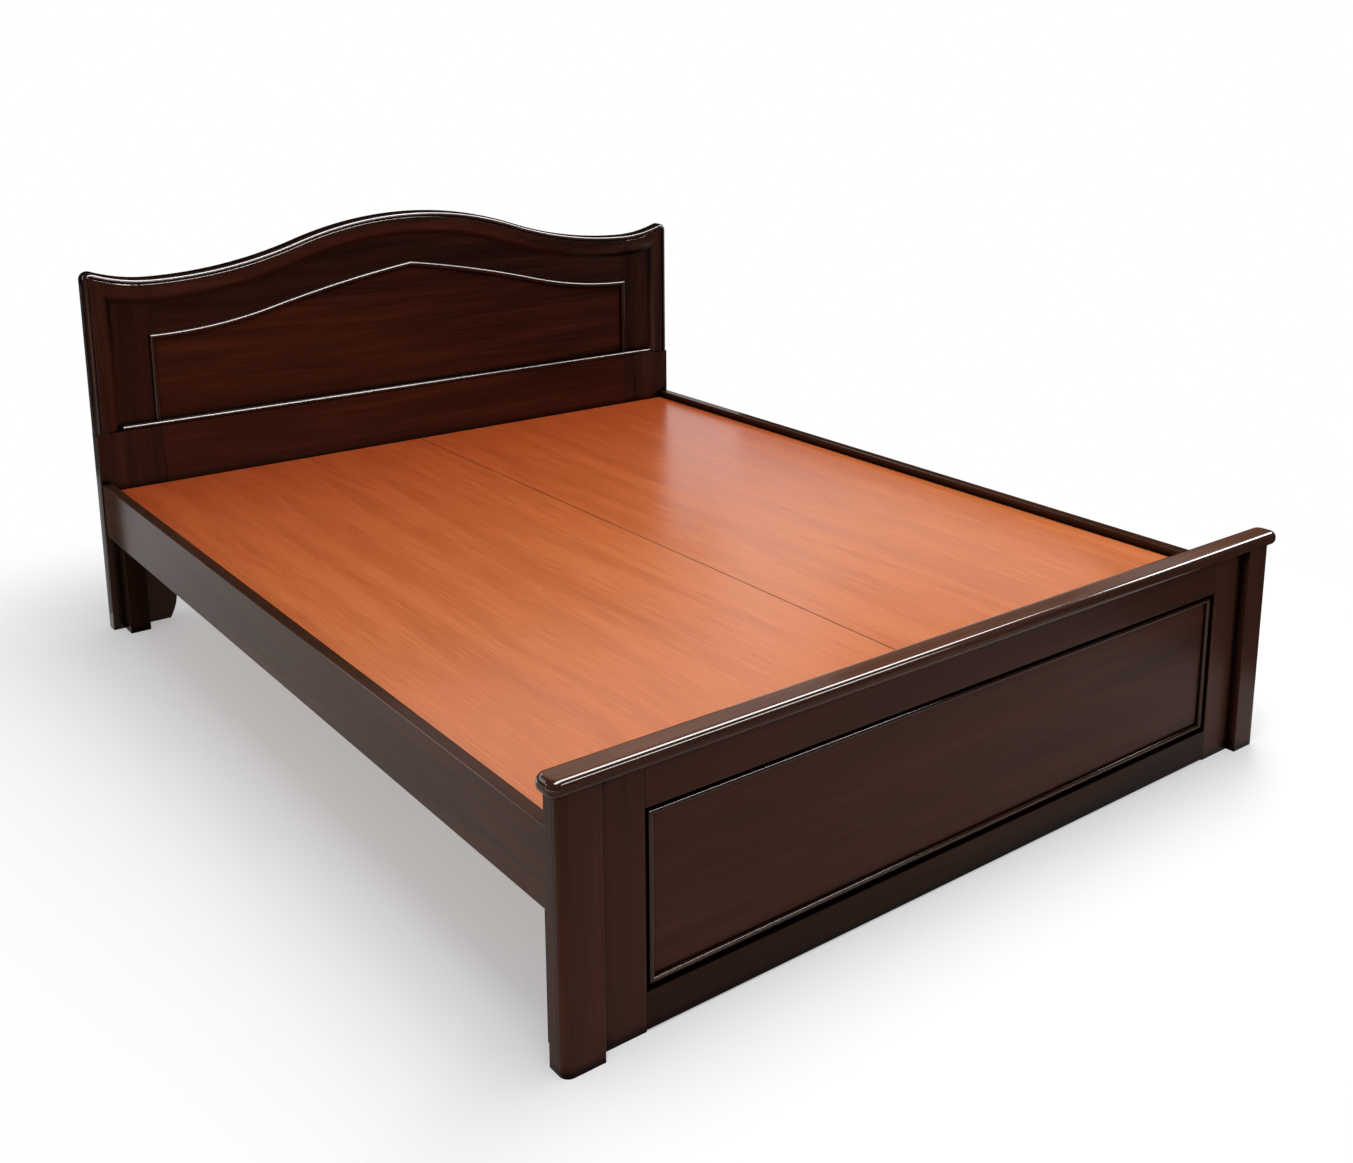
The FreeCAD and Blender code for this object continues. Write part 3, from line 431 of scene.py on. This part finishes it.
# %% Run a Geometry Nodes tree
def new_tree(name, sizes):
    """A tree with a geometry input, named inputs for its sizes, and a geometry output."""
    tree = bpy.data.node_groups.new(name, "GeometryNodeTree")
    tree.interface.new_socket("Geometry", in_out="INPUT", socket_type="NodeSocketGeometry")
    for size, kind in sizes.items():
        tree.interface.new_socket(size, in_out="INPUT", socket_type="NodeSocket" + kind)
    tree.interface.new_socket("Geometry", in_out="OUTPUT", socket_type="NodeSocketGeometry")
    return tree, add(tree, "NodeGroupInput").outputs


def close_tree(tree, geometry, finish):
    """Ends a tree: real geometry instead of instances, then its material."""
    real = add(tree, "GeometryNodeRealizeInstances", Geometry=geometry)
    coloured = add(tree, "GeometryNodeSetMaterial", Geometry=real.outputs[0], Material=finish)
    add(tree, "NodeGroupOutput", Geometry=coloured.outputs[0])


def grow(name, tree, seed_mesh, **sizes):
    """The plain mesh piece that a tree makes from a seed mesh and these sizes."""
    piece = bpy.data.objects.new(name, seed_mesh)
    scene.collection.objects.link(piece)
    modifier = piece.modifiers.new("maker", "NODES")
    modifier.node_group = tree
    for socket in tree.interface.items_tree:
        key = socket.name.replace(" ", "_")
        if socket.in_out == "INPUT" and key in sizes:
            modifier[socket.identifier] = sizes[key]
    made = piece.evaluated_get(bpy.context.evaluated_depsgraph_get())
    mesh = bpy.data.meshes.new_from_object(made)
    piece.modifiers.remove(modifier)
    piece.data = mesh
    finish = [material for material in mesh.materials if material][0]
    mesh.materials.clear()
    mesh.materials.append(finish)
    mesh.polygons.foreach_set("material_index", [0] * len(mesh.polygons))
    solid = bmesh.new()
    solid.from_mesh(mesh)
    volume = solid.calc_volume(signed=True)
    solid.free()
    print(name, len(mesh.polygons), "faces in", finish.name + ",", round(volume / MM ** 3), "cubic mm")
    return piece


def stands_for(piece, body, *names):
    """The piece rides on a body in the place of these CAD nodes, which it hides."""
    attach(piece, body)
    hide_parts(*names)


# %% [markdown]
# The upper edge of the headboard's panel is its sight line: level at the sides, a hollow sweep up, then a
# slow convex rise to a point. It is worked out from its two arcs, as on a full-size drawing.

# %% Sight line
STILE_INNER = 642 * MM
SIGHT_CORNER = 668 * MM
TURN = 0.56 * STILE_INNER
TURN_SLOPE, PEAK_SLOPE = math.radians(15.0), math.radians(8.5)
ARC_STEPS = 40
bead_low, bead_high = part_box("headboard_bead_top_right")
sweep_radius = (STILE_INNER - TURN) / math.sin(TURN_SLOPE)
rise_radius = TURN / (math.sin(TURN_SLOPE) - math.sin(PEAK_SLOPE))
turn_height = SIGHT_CORNER + sweep_radius * (1 - math.cos(TURN_SLOPE))
half_line = []
for step in range(ARC_STEPS + 1):
    angle = PEAK_SLOPE + (TURN_SLOPE - PEAK_SLOPE) * step / ARC_STEPS
    x = rise_radius * (math.sin(angle) - math.sin(PEAK_SLOPE))
    half_line.append((x, turn_height + rise_radius * (math.cos(angle) - math.cos(TURN_SLOPE))))
for step in range(1, ARC_STEPS + 1):
    angle = TURN_SLOPE * (1 - step / ARC_STEPS)
    half_line.append((STILE_INNER - sweep_radius * math.sin(angle),
                      SIGHT_CORNER + sweep_radius * (1 - math.cos(angle))))
whole_line = [(-x, z) for x, z in reversed(half_line[1:])] + half_line
sight_line = bpy.data.meshes.new("sight_line")
sight_line.from_pydata([(x, bead_high.y, z) for x, z in whole_line],
                       [(k, k + 1) for k in range(len(whole_line) - 1)], [])
print("sight line of", len(whole_line), "points")

# %% [markdown]
# A thin half-round bead follows that line. On a bench it is run on a moulding cutter and bent or cut to
# the line. Here Curve to Mesh draws a half circle along it. The ends are mitred by moving the last row of
# points onto the 45 degree plane of the joint.

# %% Bead along the sight line
HALF_ROUND_POINTS = 17
TOUCH = 0.01 * MM
tree, sizes = new_tree("sight_bead", {"Radius": "Float", "Corner Height": "Float", "Stile Inner": "Float"})
path = add(tree, "GeometryNodeMeshToCurve", Mesh=sizes["Geometry"])
path = add(tree, "GeometryNodeSetCurveNormal", {"mode": "Z_UP"}, Curve=path.outputs[0])
arc = add(tree, "GeometryNodeCurveArc", Resolution=HALF_ROUND_POINTS, Radius=sizes["Radius"],
          Start_Angle=-math.pi / 2, Sweep_Angle=math.pi)
flat_side = add(tree, "GeometryNodeSetSplineCyclic", Geometry=arc.outputs[0], Cyclic=True)
below = add(tree, "ShaderNodeMath", {"operation": "MULTIPLY"}, _0=sizes["Radius"], _1=-1.0)
shift = add(tree, "ShaderNodeCombineXYZ", Y=below.outputs[0])
profile = add(tree, "GeometryNodeTransform", Geometry=flat_side.outputs[0], Translation=shift.outputs[0])
bead = add(tree, "GeometryNodeCurveToMesh", Curve=path.outputs[0], Profile_Curve=profile.outputs[0],
           Fill_Caps=True)
spot = add(tree, "ShaderNodeSeparateXYZ", Vector=add(tree, "GeometryNodeInputPosition").outputs[0])
reach = add(tree, "ShaderNodeMath", {"operation": "ABSOLUTE"}, _0=spot.outputs["X"])
beyond = add(tree, "ShaderNodeMath", {"operation": "SUBTRACT"}, _0=reach.outputs[0], _1=sizes["Stile Inner"])
at_end = add(tree, "ShaderNodeMath", {"operation": "GREATER_THAN"}, _0=beyond.outputs[0], _1=-TOUCH)
rise = add(tree, "ShaderNodeMath", {"operation": "SUBTRACT"}, _0=spot.outputs["Z"], _1=sizes["Corner Height"])
side = add(tree, "ShaderNodeMath", {"operation": "SIGN"}, _0=spot.outputs["X"])
slide = add(tree, "ShaderNodeMath", {"operation": "MULTIPLY"}, _0=rise.outputs[0], _1=side.outputs[0])
slide = add(tree, "ShaderNodeCombineXYZ", X=slide.outputs[0])
mitred = add(tree, "GeometryNodeSetPosition", Geometry=bead.outputs[0], Selection=at_end.outputs[0],
             Offset=slide.outputs[0])
smooth = add(tree, "GeometryNodeSetShadeSmooth", Geometry=mitred.outputs[0])
close_tree(tree, smooth.outputs[0], beaded["X"])
bead_radius = bead_high.y - bead_low.y
sight_bead = grow("headboard_sight_bead", tree, sight_line, Radius=bead_radius, Corner_Height=SIGHT_CORNER,
                  Stile_Inner=STILE_INNER)
stands_for(sight_bead, "frame", "headboard_bead_top_left", "headboard_bead_top_right")
made_high = max(vertex.co.z for vertex in sight_bead.data.vertices)
made_low = min(vertex.co.y for vertex in sight_bead.data.vertices)
print("bead is", round((made_high - bead_high.z) / MM, 3), "and", round((made_low - bead_low.y) / MM, 3),
      "mm off the CAD one")

# %% [markdown]
# No two boards from a timber yard show the same figure. Each batten stores its own number, and this pine
# reads that number and shifts its grain.

# %% Pine for the battens
GRAIN_SHIFT = 0.37
board_pine, board_tree, board_shader = new_material("bare_planed_pine_battens", IOR=BARE_IOR)
draw_grain(board_tree, board_shader, "X", **PINE_GRAIN)
number = add(board_tree, "ShaderNodeAttribute", {"attribute_name": "board"})
step = add(board_tree, "ShaderNodeMath", {"operation": "MULTIPLY"}, _0=number.outputs["Fac"], _1=GRAIN_SHIFT)
shift = add(board_tree, "ShaderNodeCombineXYZ", X=step.outputs[0], Z=step.outputs[0])
for mapping in [node for node in board_tree.nodes if node.type == "MAPPING"]:
    place = mapping.inputs["Vector"].links[0].from_socket
    moved = add(board_tree, "ShaderNodeVectorMath", {"operation": "ADD"}, _0=place, _1=shift.outputs[0])
    board_tree.links.new(moved.outputs[0], mapping.inputs["Vector"])
print(board_pine.name, "shifts by", GRAIN_SHIFT, "m from board to board")

# %% [markdown]
# Seven battens lie across the bed. They are one board seven times over, so a line of points carries one
# rounded bar.

# %% Battens
ARRIS, ARRIS_POINTS = 1.5 * MM, 4
batten_names = sorted(name for name in nodes if name.startswith("batten_") and name != "batten_screws")
first_low, first_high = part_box(batten_names[0])
last_low, last_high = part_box(batten_names[-1])
tree, sizes = new_tree("batten_row", {
    "Count": "Int", "First": "Vector", "Step": "Vector", "Half Length": "Float", "Width": "Float",
    "Thickness": "Float", "Arris": "Float"})
back = add(tree, "ShaderNodeMath", {"operation": "MULTIPLY"}, _0=sizes["Half Length"], _1=-1.0)
left = add(tree, "ShaderNodeCombineXYZ", X=back.outputs[0])
right = add(tree, "ShaderNodeCombineXYZ", X=sizes["Half Length"])
spine = add(tree, "GeometryNodeCurvePrimitiveLine", Start=left.outputs[0], End=right.outputs[0])
spine = add(tree, "GeometryNodeSetCurveNormal", {"mode": "Z_UP"}, Curve=spine.outputs[0])
section = add(tree, "GeometryNodeCurvePrimitiveQuadrilateral", Width=sizes["Width"],
              Height=sizes["Thickness"])
rounded = add(tree, "GeometryNodeFilletCurve", {"mode": "POLY"}, Curve=section.outputs[0],
              Count=ARRIS_POINTS, Radius=sizes["Arris"])
bar = add(tree, "GeometryNodeCurveToMesh", Curve=spine.outputs[0], Profile_Curve=rounded.outputs[0],
          Fill_Caps=True)
row = add(tree, "GeometryNodeMeshLine", Count=sizes["Count"], Start_Location=sizes["First"],
          Offset=sizes["Step"])
copies = add(tree, "GeometryNodeInstanceOnPoints", Points=row.outputs[0], Instance=bar.outputs[0])
counted = add(tree, "GeometryNodeStoreNamedAttribute", {"data_type": "FLOAT", "domain": "INSTANCE"},
              Geometry=copies.outputs[0], Name="board", Value=add(tree, "GeometryNodeInputIndex").outputs[0])
close_tree(tree, counted.outputs[0], board_pine)
middle = (first_low + first_high) / 2
pitch = ((last_low + last_high) / 2 - middle) / (len(batten_names) - 1)
size = first_high - first_low
battens = grow("deck_battens", tree, bpy.data.meshes.new("batten_seed"), Count=len(batten_names),
               First=middle, Step=pitch, Half_Length=size.x / 2, Width=size.y, Thickness=size.z, Arris=ARRIS)
stands_for(battens, "frame", *batten_names)

# %% [markdown]
# The CAD model keeps all the screws of one kind in one node. To dress them, each separate solid is
# found in the node's mesh, and its box gives its length, its middle and the way it points: the head is the
# wide end. One turned screw with a cross recess is then placed at every head.

# %% Find each fastener
RIM_SHARE = 0.95


def separate_solids(name):
    """The corner points of each separate solid in a CAD node."""
    mesh = bmesh.new()
    mesh.from_mesh(nodes[name].data)
    bmesh.ops.remove_doubles(mesh, verts=mesh.verts, dist=TOUCH)
    left = set(mesh.verts)
    groups = []
    while left:
        edge_of_group = [left.pop()]
        group = []
        while edge_of_group:
            vertex = edge_of_group.pop()
            group.append(vertex.co.copy())
            near = {edge.other_vert(vertex) for edge in vertex.link_edges} & left
            left -= near
            edge_of_group += near
        groups.append(group)
    mesh.free()
    return groups


def measure(points):
    """The middle of a fastener's head end, the way out of it, its length and its head's radius."""
    low = Vector([min(point[k] for point in points) for k in range(3)])
    high = Vector([max(point[k] for point in points) for k in range(3)])
    size = high - low
    axis = max(range(3), key=lambda k: size[k])
    middle = (low + high) / 2
    others = [k for k in range(3) if k != axis]
    radii = [math.hypot(*[point[k] - middle[k] for k in others]) for point in points]
    radius = max(radii)
    rim = [point[axis] for point, reach in zip(points, radii) if reach > RIM_SHARE * radius]
    way = Vector((0, 0, 0))
    way[axis] = 1.0 if sum(rim) / len(rim) > middle[axis] else -1.0
    return middle + way * size[axis] / 2, way, size[axis], radius


fasteners = {name: [measure(group) for group in separate_solids(name)]
             for name in sorted(nodes) if slots[name] == "fastener_zinc" and name != "threaded_inserts"}
print({name: (len(places), round(places[0][2] / MM, 1)) for name, places in fasteners.items()})

# %% [markdown]
# A screw, a bolt and a washer are all turned shapes: a row of radii and heights, spun round. A bolt's
# head is the same spin with only six sides.

# %% Turned shapes
SIDES = 20


def turned(name, profile, sides=SIDES):
    """A closed turned shape from (radius, height) pairs, ordered from the top of its axis to the bottom."""
    mesh = bmesh.new()
    rings = []
    for radius, height in profile:
        if radius == 0:
            rings.append([mesh.verts.new((0, 0, height))])
        else:
            turns = [2 * math.pi * k / sides for k in range(sides)]
            rings.append([mesh.verts.new((radius * math.cos(turn), radius * math.sin(turn), height))
                          for turn in turns])
    for upper, lower in zip(rings, rings[1:]):
        for k in range(sides):
            corners = [upper[k % len(upper)], lower[k % len(lower)],
                       lower[(k + 1) % len(lower)], upper[(k + 1) % len(upper)]]
            mesh.faces.new(list(dict.fromkeys(corners)))
    bmesh.ops.recalc_face_normals(mesh, faces=mesh.faces)
    made = bpy.data.meshes.new(name)
    mesh.to_mesh(made)
    mesh.free()
    return made


print("turned shapes have", SIDES, "sides")

# %% [markdown]
# A wood screw has a countersunk head, a plain neck and a thread. The cross in its head is cut by a small
# cross-shaped block. Its sizes are shares of the head's radius, and the thread takes up the length.

# %% Screws
TURNS = 9
FLANK = 0.35


def block_mesh(name, sizes):
    """Boxes of these half sizes, centred on the origin."""
    mesh = bmesh.new()
    for half in sizes:
        made = bmesh.ops.create_cube(mesh, size=2.0)
        bmesh.ops.scale(mesh, vec=half, verts=made["verts"])
    made = bpy.data.meshes.new(name)
    mesh.to_mesh(made)
    mesh.free()
    return made


def screw_mesh(length, head):
    """A countersunk screw, head up at the origin, with a cross recess."""
    shank, root, rim = 0.5 * head, 0.42 * head, 0.12 * head
    neck, thread_top, plain = 0.62 * head, 0.9 * head, 2.2 * head
    profile = [(0, 0), (head - rim, 0), (head, -rim), (head, -2 * rim), (shank, -neck)]
    for k in range(TURNS):
        height = -thread_top - (length - plain) * k / TURNS
        profile += [(root, height), (shank, height - FLANK * (length - plain) / TURNS)]
    profile += [(root, -length + head), (0, -length)]
    screw = bpy.data.objects.new("screw", turned("screw", profile))
    arm, slit, depth = 0.55 * head, 0.13 * head, 0.4 * head
    cross = bpy.data.objects.new("cross", block_mesh("cross", [(arm, slit, depth), (slit, arm, depth)]))
    for thing in (screw, cross):
        scene.collection.objects.link(thing)
    cut = screw.modifiers.new("recess", "BOOLEAN")
    cut.object, cut.use_self = cross, True
    made = screw.evaluated_get(bpy.context.evaluated_depsgraph_get())
    made = bpy.data.meshes.new_from_object(made)
    for thing in (screw, cross):
        bpy.data.objects.remove(thing)
    return made


print("screw sample:", len(screw_mesh(40 * MM, 4 * MM).polygons), "faces")

# %% [markdown]
# The tree puts one fastener on each point of a seed mesh and turns it to the direction that is stored
# there, so a new screw hole in the CAD model would get its screw without any change here. The screws on
# the battens stand a hair proud of the wood. Those through the dark corner blocks were sprayed over with
# them, so they stay dark.

# %% Place the fasteners
tree, sizes = new_tree("fasteners_at_points", {"Fastener": "Object", "Finish": "Material"})
sample = add(tree, "GeometryNodeObjectInfo", Object=sizes["Fastener"])
aim = add(tree, "GeometryNodeInputNamedAttribute", {"data_type": "FLOAT_VECTOR"}, Name="aim")
turn = add(tree, "FunctionNodeAlignRotationToVector", {"axis": "Z"}, Vector=aim.outputs[0])
copies = add(tree, "GeometryNodeInstanceOnPoints", Points=sizes["Geometry"],
             Instance=sample.outputs["Geometry"], Rotation=turn.outputs[0])
close_tree(tree, copies.outputs[0], sizes["Finish"])


def placed(name, places, mesh, finish):
    """One piece with a fastener at each place."""
    points = bpy.data.meshes.new(name)
    points.from_pydata([head for head, way in places], [], [])
    aims = points.attributes.new("aim", "FLOAT_VECTOR", "POINT")
    for row, (head, way) in zip(aims.data, places):
        row.vector = way
    sample = bpy.data.objects.new("sample", mesh)
    scene.collection.objects.link(sample)
    piece = grow(name, tree, points, Fastener=sample, Finish=finish)
    bpy.data.objects.remove(sample)
    return piece


PROUD = {"batten_screws": 0.15 * MM}
for name, rows in fasteners.items():
    if not name.endswith("screws"):
        continue
    length, radius = rows[0][2:]
    places = [(head + PROUD.get(name, 0.0) * way, way) for head, way, *_ in rows]
    finish = deep_satin["Z"] if name == "corner_block_screws" else plated
    stands_for(placed(name + "_turned", places, screw_mesh(length, radius), finish), "frame", name)

# %% [markdown]
# The bed bolts hold the side rails to the corner blocks: a hexagon head on a washer. A forged head has
# a chamfer on its top corners, which is what makes it glint.

# %% Bolts
BOLT_HEAD, SHANK = 5.5 * MM, 4.0 * MM
CHAMFER, CHAMFER_DROP = 1.2 * MM, 0.72 * MM
TIP = 0.6 * MM
HEAD_SIDES = 6
length, radius = fasteners["bed_bolts"][0][2:]
hexagon = [(0, 0), (radius - CHAMFER, 0), (radius, -CHAMFER_DROP), (radius, -BOLT_HEAD), (0, -BOLT_HEAD)]
shank = [(0, -BOLT_HEAD), (SHANK, -BOLT_HEAD), (SHANK, TIP - length), (SHANK - TIP, -length), (0, -length)]
bolt = bmesh.new()
for part in (turned("hexagon", hexagon, HEAD_SIDES), turned("shank", shank)):
    bolt.from_mesh(part)
bolt_mesh = bpy.data.meshes.new("bed_bolt")
bolt.to_mesh(bolt_mesh)
bolt.free()
bolt_places = [(head, way) for head, way, *_ in fasteners["bed_bolts"]]
stands_for(placed("bed_bolts_forged", bolt_places, bolt_mesh, plated), "frame", "bed_bolts")

# %% [markdown]
# A washer is stamped from sheet, and its edges are slightly eased. Its spun section ends where it starts,
# so the first and the last ring are welded.

# %% Washers
EASE, BORE = 0.3 * MM, 4.3 * MM
WASHER = 2.0 * MM
solids = separate_solids("bed_bolt_washers")
middles = [sum(points, Vector()) / len(points) for points in solids]
outer = max(abs(point.z - middles[-1].z) for point in solids[-1])
half = WASHER / 2
section = [(BORE, half), (outer - EASE, half), (outer, half - EASE), (outer, EASE - half),
           (outer - EASE, -half), (BORE, -half), (BORE, half)]
washer_mesh = turned("washer", section)
washer = bmesh.new()
washer.from_mesh(washer_mesh)
bmesh.ops.remove_doubles(washer, verts=washer.verts, dist=TOUCH)
bmesh.ops.recalc_face_normals(washer, faces=washer.faces)
washer.to_mesh(washer_mesh)
washer.free()
washer_places = [(middle, Vector((1, 0, 0))) for middle in middles]
stands_for(placed("bed_bolt_washers_turned", washer_places, washer_mesh, plated), "frame", "bed_bolt_washers")

# %% [markdown]
# The studio is a white floor that runs on into a white background. The floor is plain diffuse paint and
# keeps the bed's shadow. Away from the bed it fades to white for what the camera sees, directly or in
# a reflection, so no horizon shows. The fade is measured from the bed's own rectangle on the floor, and it
# starts from a share that keeps the shadow pale, as on a floor that is lit from below.

# %% Floor
FLOOR_SIDE = 40.0
FADE = (0.05, 0.9)
PALE_SHADOW = 0.36
FADE_CENTRE = (0.12, -0.14, 0.0)
WHITE = shade("#FFFFFF")


def seen_directly(tree):
    """1 for the camera's own rays and for what they meet in a mirror or through glass."""
    ways = add(tree, "ShaderNodeLightPath")
    either = add(tree, "ShaderNodeMath", {"operation": "MAXIMUM"}, _0=ways.outputs["Is Camera Ray"],
                 _1=ways.outputs["Is Glossy Ray"])
    return add(tree, "ShaderNodeMath", {"operation": "MAXIMUM"}, _0=either.outputs[0],
               _1=ways.outputs["Is Transmission Ray"]).outputs[0]


def stage_sheets(name, corners, material):
    """Staging made of flat four-cornered sheets."""
    mesh = bpy.data.meshes.new(name)
    mesh.from_pydata(corners, [], [range(k, k + 4) for k in range(0, len(corners), 4)])
    mesh.materials.append(material)
    sheets = bpy.data.objects.new(name, mesh)
    scene.collection.objects.link(sheets)
    sheets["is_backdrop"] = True
    return sheets


MATT = {"Roughness": 1.0, "Specular_IOR_Level": 0.0}
paint, tree, shader = new_material("matt_white_floor", Base_Color=shade("#F7F7F7"), **MATT)
side = FLOOR_SIDE / 2
floor_corners = [(-side, -side, 0), (side, -side, 0), (side, side, 0), (-side, side, 0)]
stage_sheets("studio_floor", floor_corners, paint)
place = add(tree, "ShaderNodeTexCoord").outputs["Object"]
centred = add(tree, "ShaderNodeVectorMath", {"operation": "SUBTRACT"}, _0=place, _1=FADE_CENTRE)
beside = add(tree, "ShaderNodeVectorMath", {"operation": "ABSOLUTE"}, _0=centred.outputs[0])
outside = add(tree, "ShaderNodeVectorMath", {"operation": "SUBTRACT"}, _0=beside.outputs[0],
              _1=(cad_high.x, cad_high.y, 0))
outside = add(tree, "ShaderNodeVectorMath", {"operation": "MAXIMUM"}, _0=outside.outputs[0], _1=(0, 0, 0))
away = add(tree, "ShaderNodeVectorMath", {"operation": "LENGTH"}, _0=outside.outputs[0])
fade = add(tree, "ShaderNodeMapRange", SOFT_STEP, Value=away.outputs["Value"], From_Min=FADE[0],
           From_Max=FADE[1], To_Min=PALE_SHADOW)
share = add(tree, "ShaderNodeMath", {"operation": "MULTIPLY"}, _0=seen_directly(tree), _1=fade.outputs[0])
white = add(tree, "ShaderNodeEmission", Color=WHITE, Strength=1.0)
surface = add(tree, "ShaderNodeMixShader", _0=share.outputs[0], _1=shader.outputs[0], _2=white.outputs[0])
tree.links.new(surface.outputs[0], tree.nodes["Material Output"].inputs["Surface"])
print("floor fades to white", FADE, "m away from the bed")

# %% [markdown]
# Most of the light is an even white room. One long softbox over the front right draws the white lines
# on the rounded edges and lets the shadow fall to the left. Two strips only show in the gloss: one carries
# that line on to the cap's far end, and a narrow one in front draws a second, lower line on the left part
# of its nose.

# %% Light
ROOM = 0.45
room = bpy.data.worlds.new("white_room")
room.use_nodes = True
scene.world = room
tree = room.node_tree
tree.nodes.clear()
level = add(tree, "ShaderNodeMapRange", Value=seen_directly(tree), To_Min=ROOM)
air = add(tree, "ShaderNodeBackground", Color=WHITE, Strength=level.outputs[0])
add(tree, "ShaderNodeOutputWorld", Surface=air.outputs[0])


def softbox(name, place, target, size, watts, lights_flats=True):
    """An area lamp. One that doesn't light the flats is only seen mirrored in the gloss."""
    lamp = bpy.data.lights.new(name, "AREA")
    lamp.shape = "RECTANGLE"
    lamp.size, lamp.size_y = size
    lamp.energy = watts
    holder = bpy.data.objects.new(name, lamp)
    holder.location = place
    holder.rotation_mode = "QUATERNION"
    holder.rotation_quaternion = (Vector(target) - Vector(place)).to_track_quat("-Z", "Y")
    scene.collection.objects.link(holder)
    holder.visible_diffuse = lights_flats


softbox("long_softbox", place=(0.6, -0.7, 2.7), target=(0.4, -0.3, 0.0), size=(4.6, 0.8), watts=90)
softbox("edge_strip", place=(3.9, -0.7, 2.7), target=(3.7, -0.3, 0.0), size=(2.0, 0.8), watts=48,
        lights_flats=False)
softbox("front_strip", place=(0.68, -2.97, 2.2), target=(-0.52, -1.27, 0.3), size=(2.7, 0.3), watts=20,
        lights_flats=False)
print("room", ROOM, "with a softbox and two strips")

# %% [markdown]
# Dark cards are what a photographer sets up against glossy dark wood. They show only in reflections. Large
# ones overhead, in front and at both sides keep the rounds dark beside their white line. Smaller ones hold
# the white room off single faces: the rails, the stiles and the crest. A slanted one lets the white lines
# fade on the headboard's right half.

# %% Dark cards
OVERHEAD = [(-4.5, -3.4, 3.0), (4.5, -3.4, 3.0), (4.5, 2.5, 3.0), (-4.5, 2.5, 3.0)]
SLANTED = [(1.34, 0.3, 1.15), (1.9, 0.3, 1.05), (1.9, 0.3, 2.1), (0.565, 0.3, 1.75)]
# Each upright card: where it starts and ends on the floor plan, and its lower and upper edge.
UPRIGHT_CARDS = {
    "front": ((-4.5, -3.4), (4.5, -3.4), (0.01, 3.0)),
    "right side": ((4.5, -3.4), (4.5, -1.3), (0.01, 3.0)),
    "left side": ((-4.5, -3.4), (-4.5, 0.6), (0.01, 3.0)),
    "low, close on the right": ((1.05, -3.4), (1.05, 0.95), (0.01, 0.5)),
    "low, farther right": ((1.9, -3.4), (1.9, 0.2), (0.01, 1.0)),
    "high at the right back": ((3.8, 1.45), (2.88, 2.5), (1.9, 3.2)),
    "left of the headboard": ((-3.0, 1.4), (-0.85, 1.4), (0.25, 1.2)),
    "behind the crest": ((-0.85, 1.04), (1.05, 1.04), (0.8, 1.1)),
    "low on the left": ((-2.0, -0.4), (-2.0, 1.4), (0.1, 0.95)),
    "behind the left stile": ((-0.85, 1.05), (-0.808, 1.05), (0.01, 0.95)),
}
corners = OVERHEAD + SLANTED
for start, end, (low, high) in UPRIGHT_CARDS.values():
    corners += [start + (low,), end + (low,), end + (high,), start + (high,)]
felt = new_material("black_felt_card", Base_Color=shade("#1A1614"), **MATT)[0]
cards = stage_sheets("dark_cards", corners, felt)
cards.visible_camera = cards.visible_diffuse = cards.visible_shadow = False
print("dark cards:", len(cards.data.polygons))

# %% [markdown]
# The camera was found by fitting the bed's known corners to where they lie in the picture. A part of the
# picture was cropped away at the top and the right, so the lens is shifted instead of tilted.

# %% Camera
PICTURE = (1353, 1163)
EYE = (-1.6724, -2.4444, 1.3259)
YAW, PITCH, ROLL = math.radians(38.554), math.radians(12.711), math.radians(0.262)
FOCAL_PIXELS, OPTICAL_CENTRE = 1480.8, (735, 380)
lens = bpy.data.cameras.new("studio_camera")
camera = bpy.data.objects.new("studio_camera", lens)
scene.collection.objects.link(camera)
scene.camera = camera
forward = Vector((math.sin(YAW) * math.cos(PITCH), math.cos(YAW) * math.cos(PITCH), -math.sin(PITCH)))
right = Vector((math.cos(YAW), -math.sin(YAW), 0))
up = right.cross(forward)
turned_right = math.cos(ROLL) * right + math.sin(ROLL) * up
turned_up = math.cos(ROLL) * up - math.sin(ROLL) * right
turned_axes = Matrix((turned_right, turned_up, -forward)).transposed()
camera.matrix_world = Matrix.Translation(EYE) @ turned_axes.to_4x4()
lens.sensor_width = 36.0
lens.lens = FOCAL_PIXELS * lens.sensor_width / PICTURE[0]
lens.shift_x = (PICTURE[0] / 2 - OPTICAL_CENTRE[0]) / PICTURE[0]
lens.shift_y = (OPTICAL_CENTRE[1] - PICTURE[1] / 2) / PICTURE[0]
scene.view_settings.view_transform = "Standard"
print("lens", round(lens.lens, 1), "mm, shift", round(lens.shift_x, 3), round(lens.shift_y, 3))

# %% [markdown]
# Last, the box of the dressed bed is printed beside the CAD box, as its change in size. Looks must not
# change the size.

# %% Compare the boxes and finish
low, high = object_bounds()
print("size change in mm:", [round(x / MM, 2) for x in (high - low) - (cad_high - cad_low)])
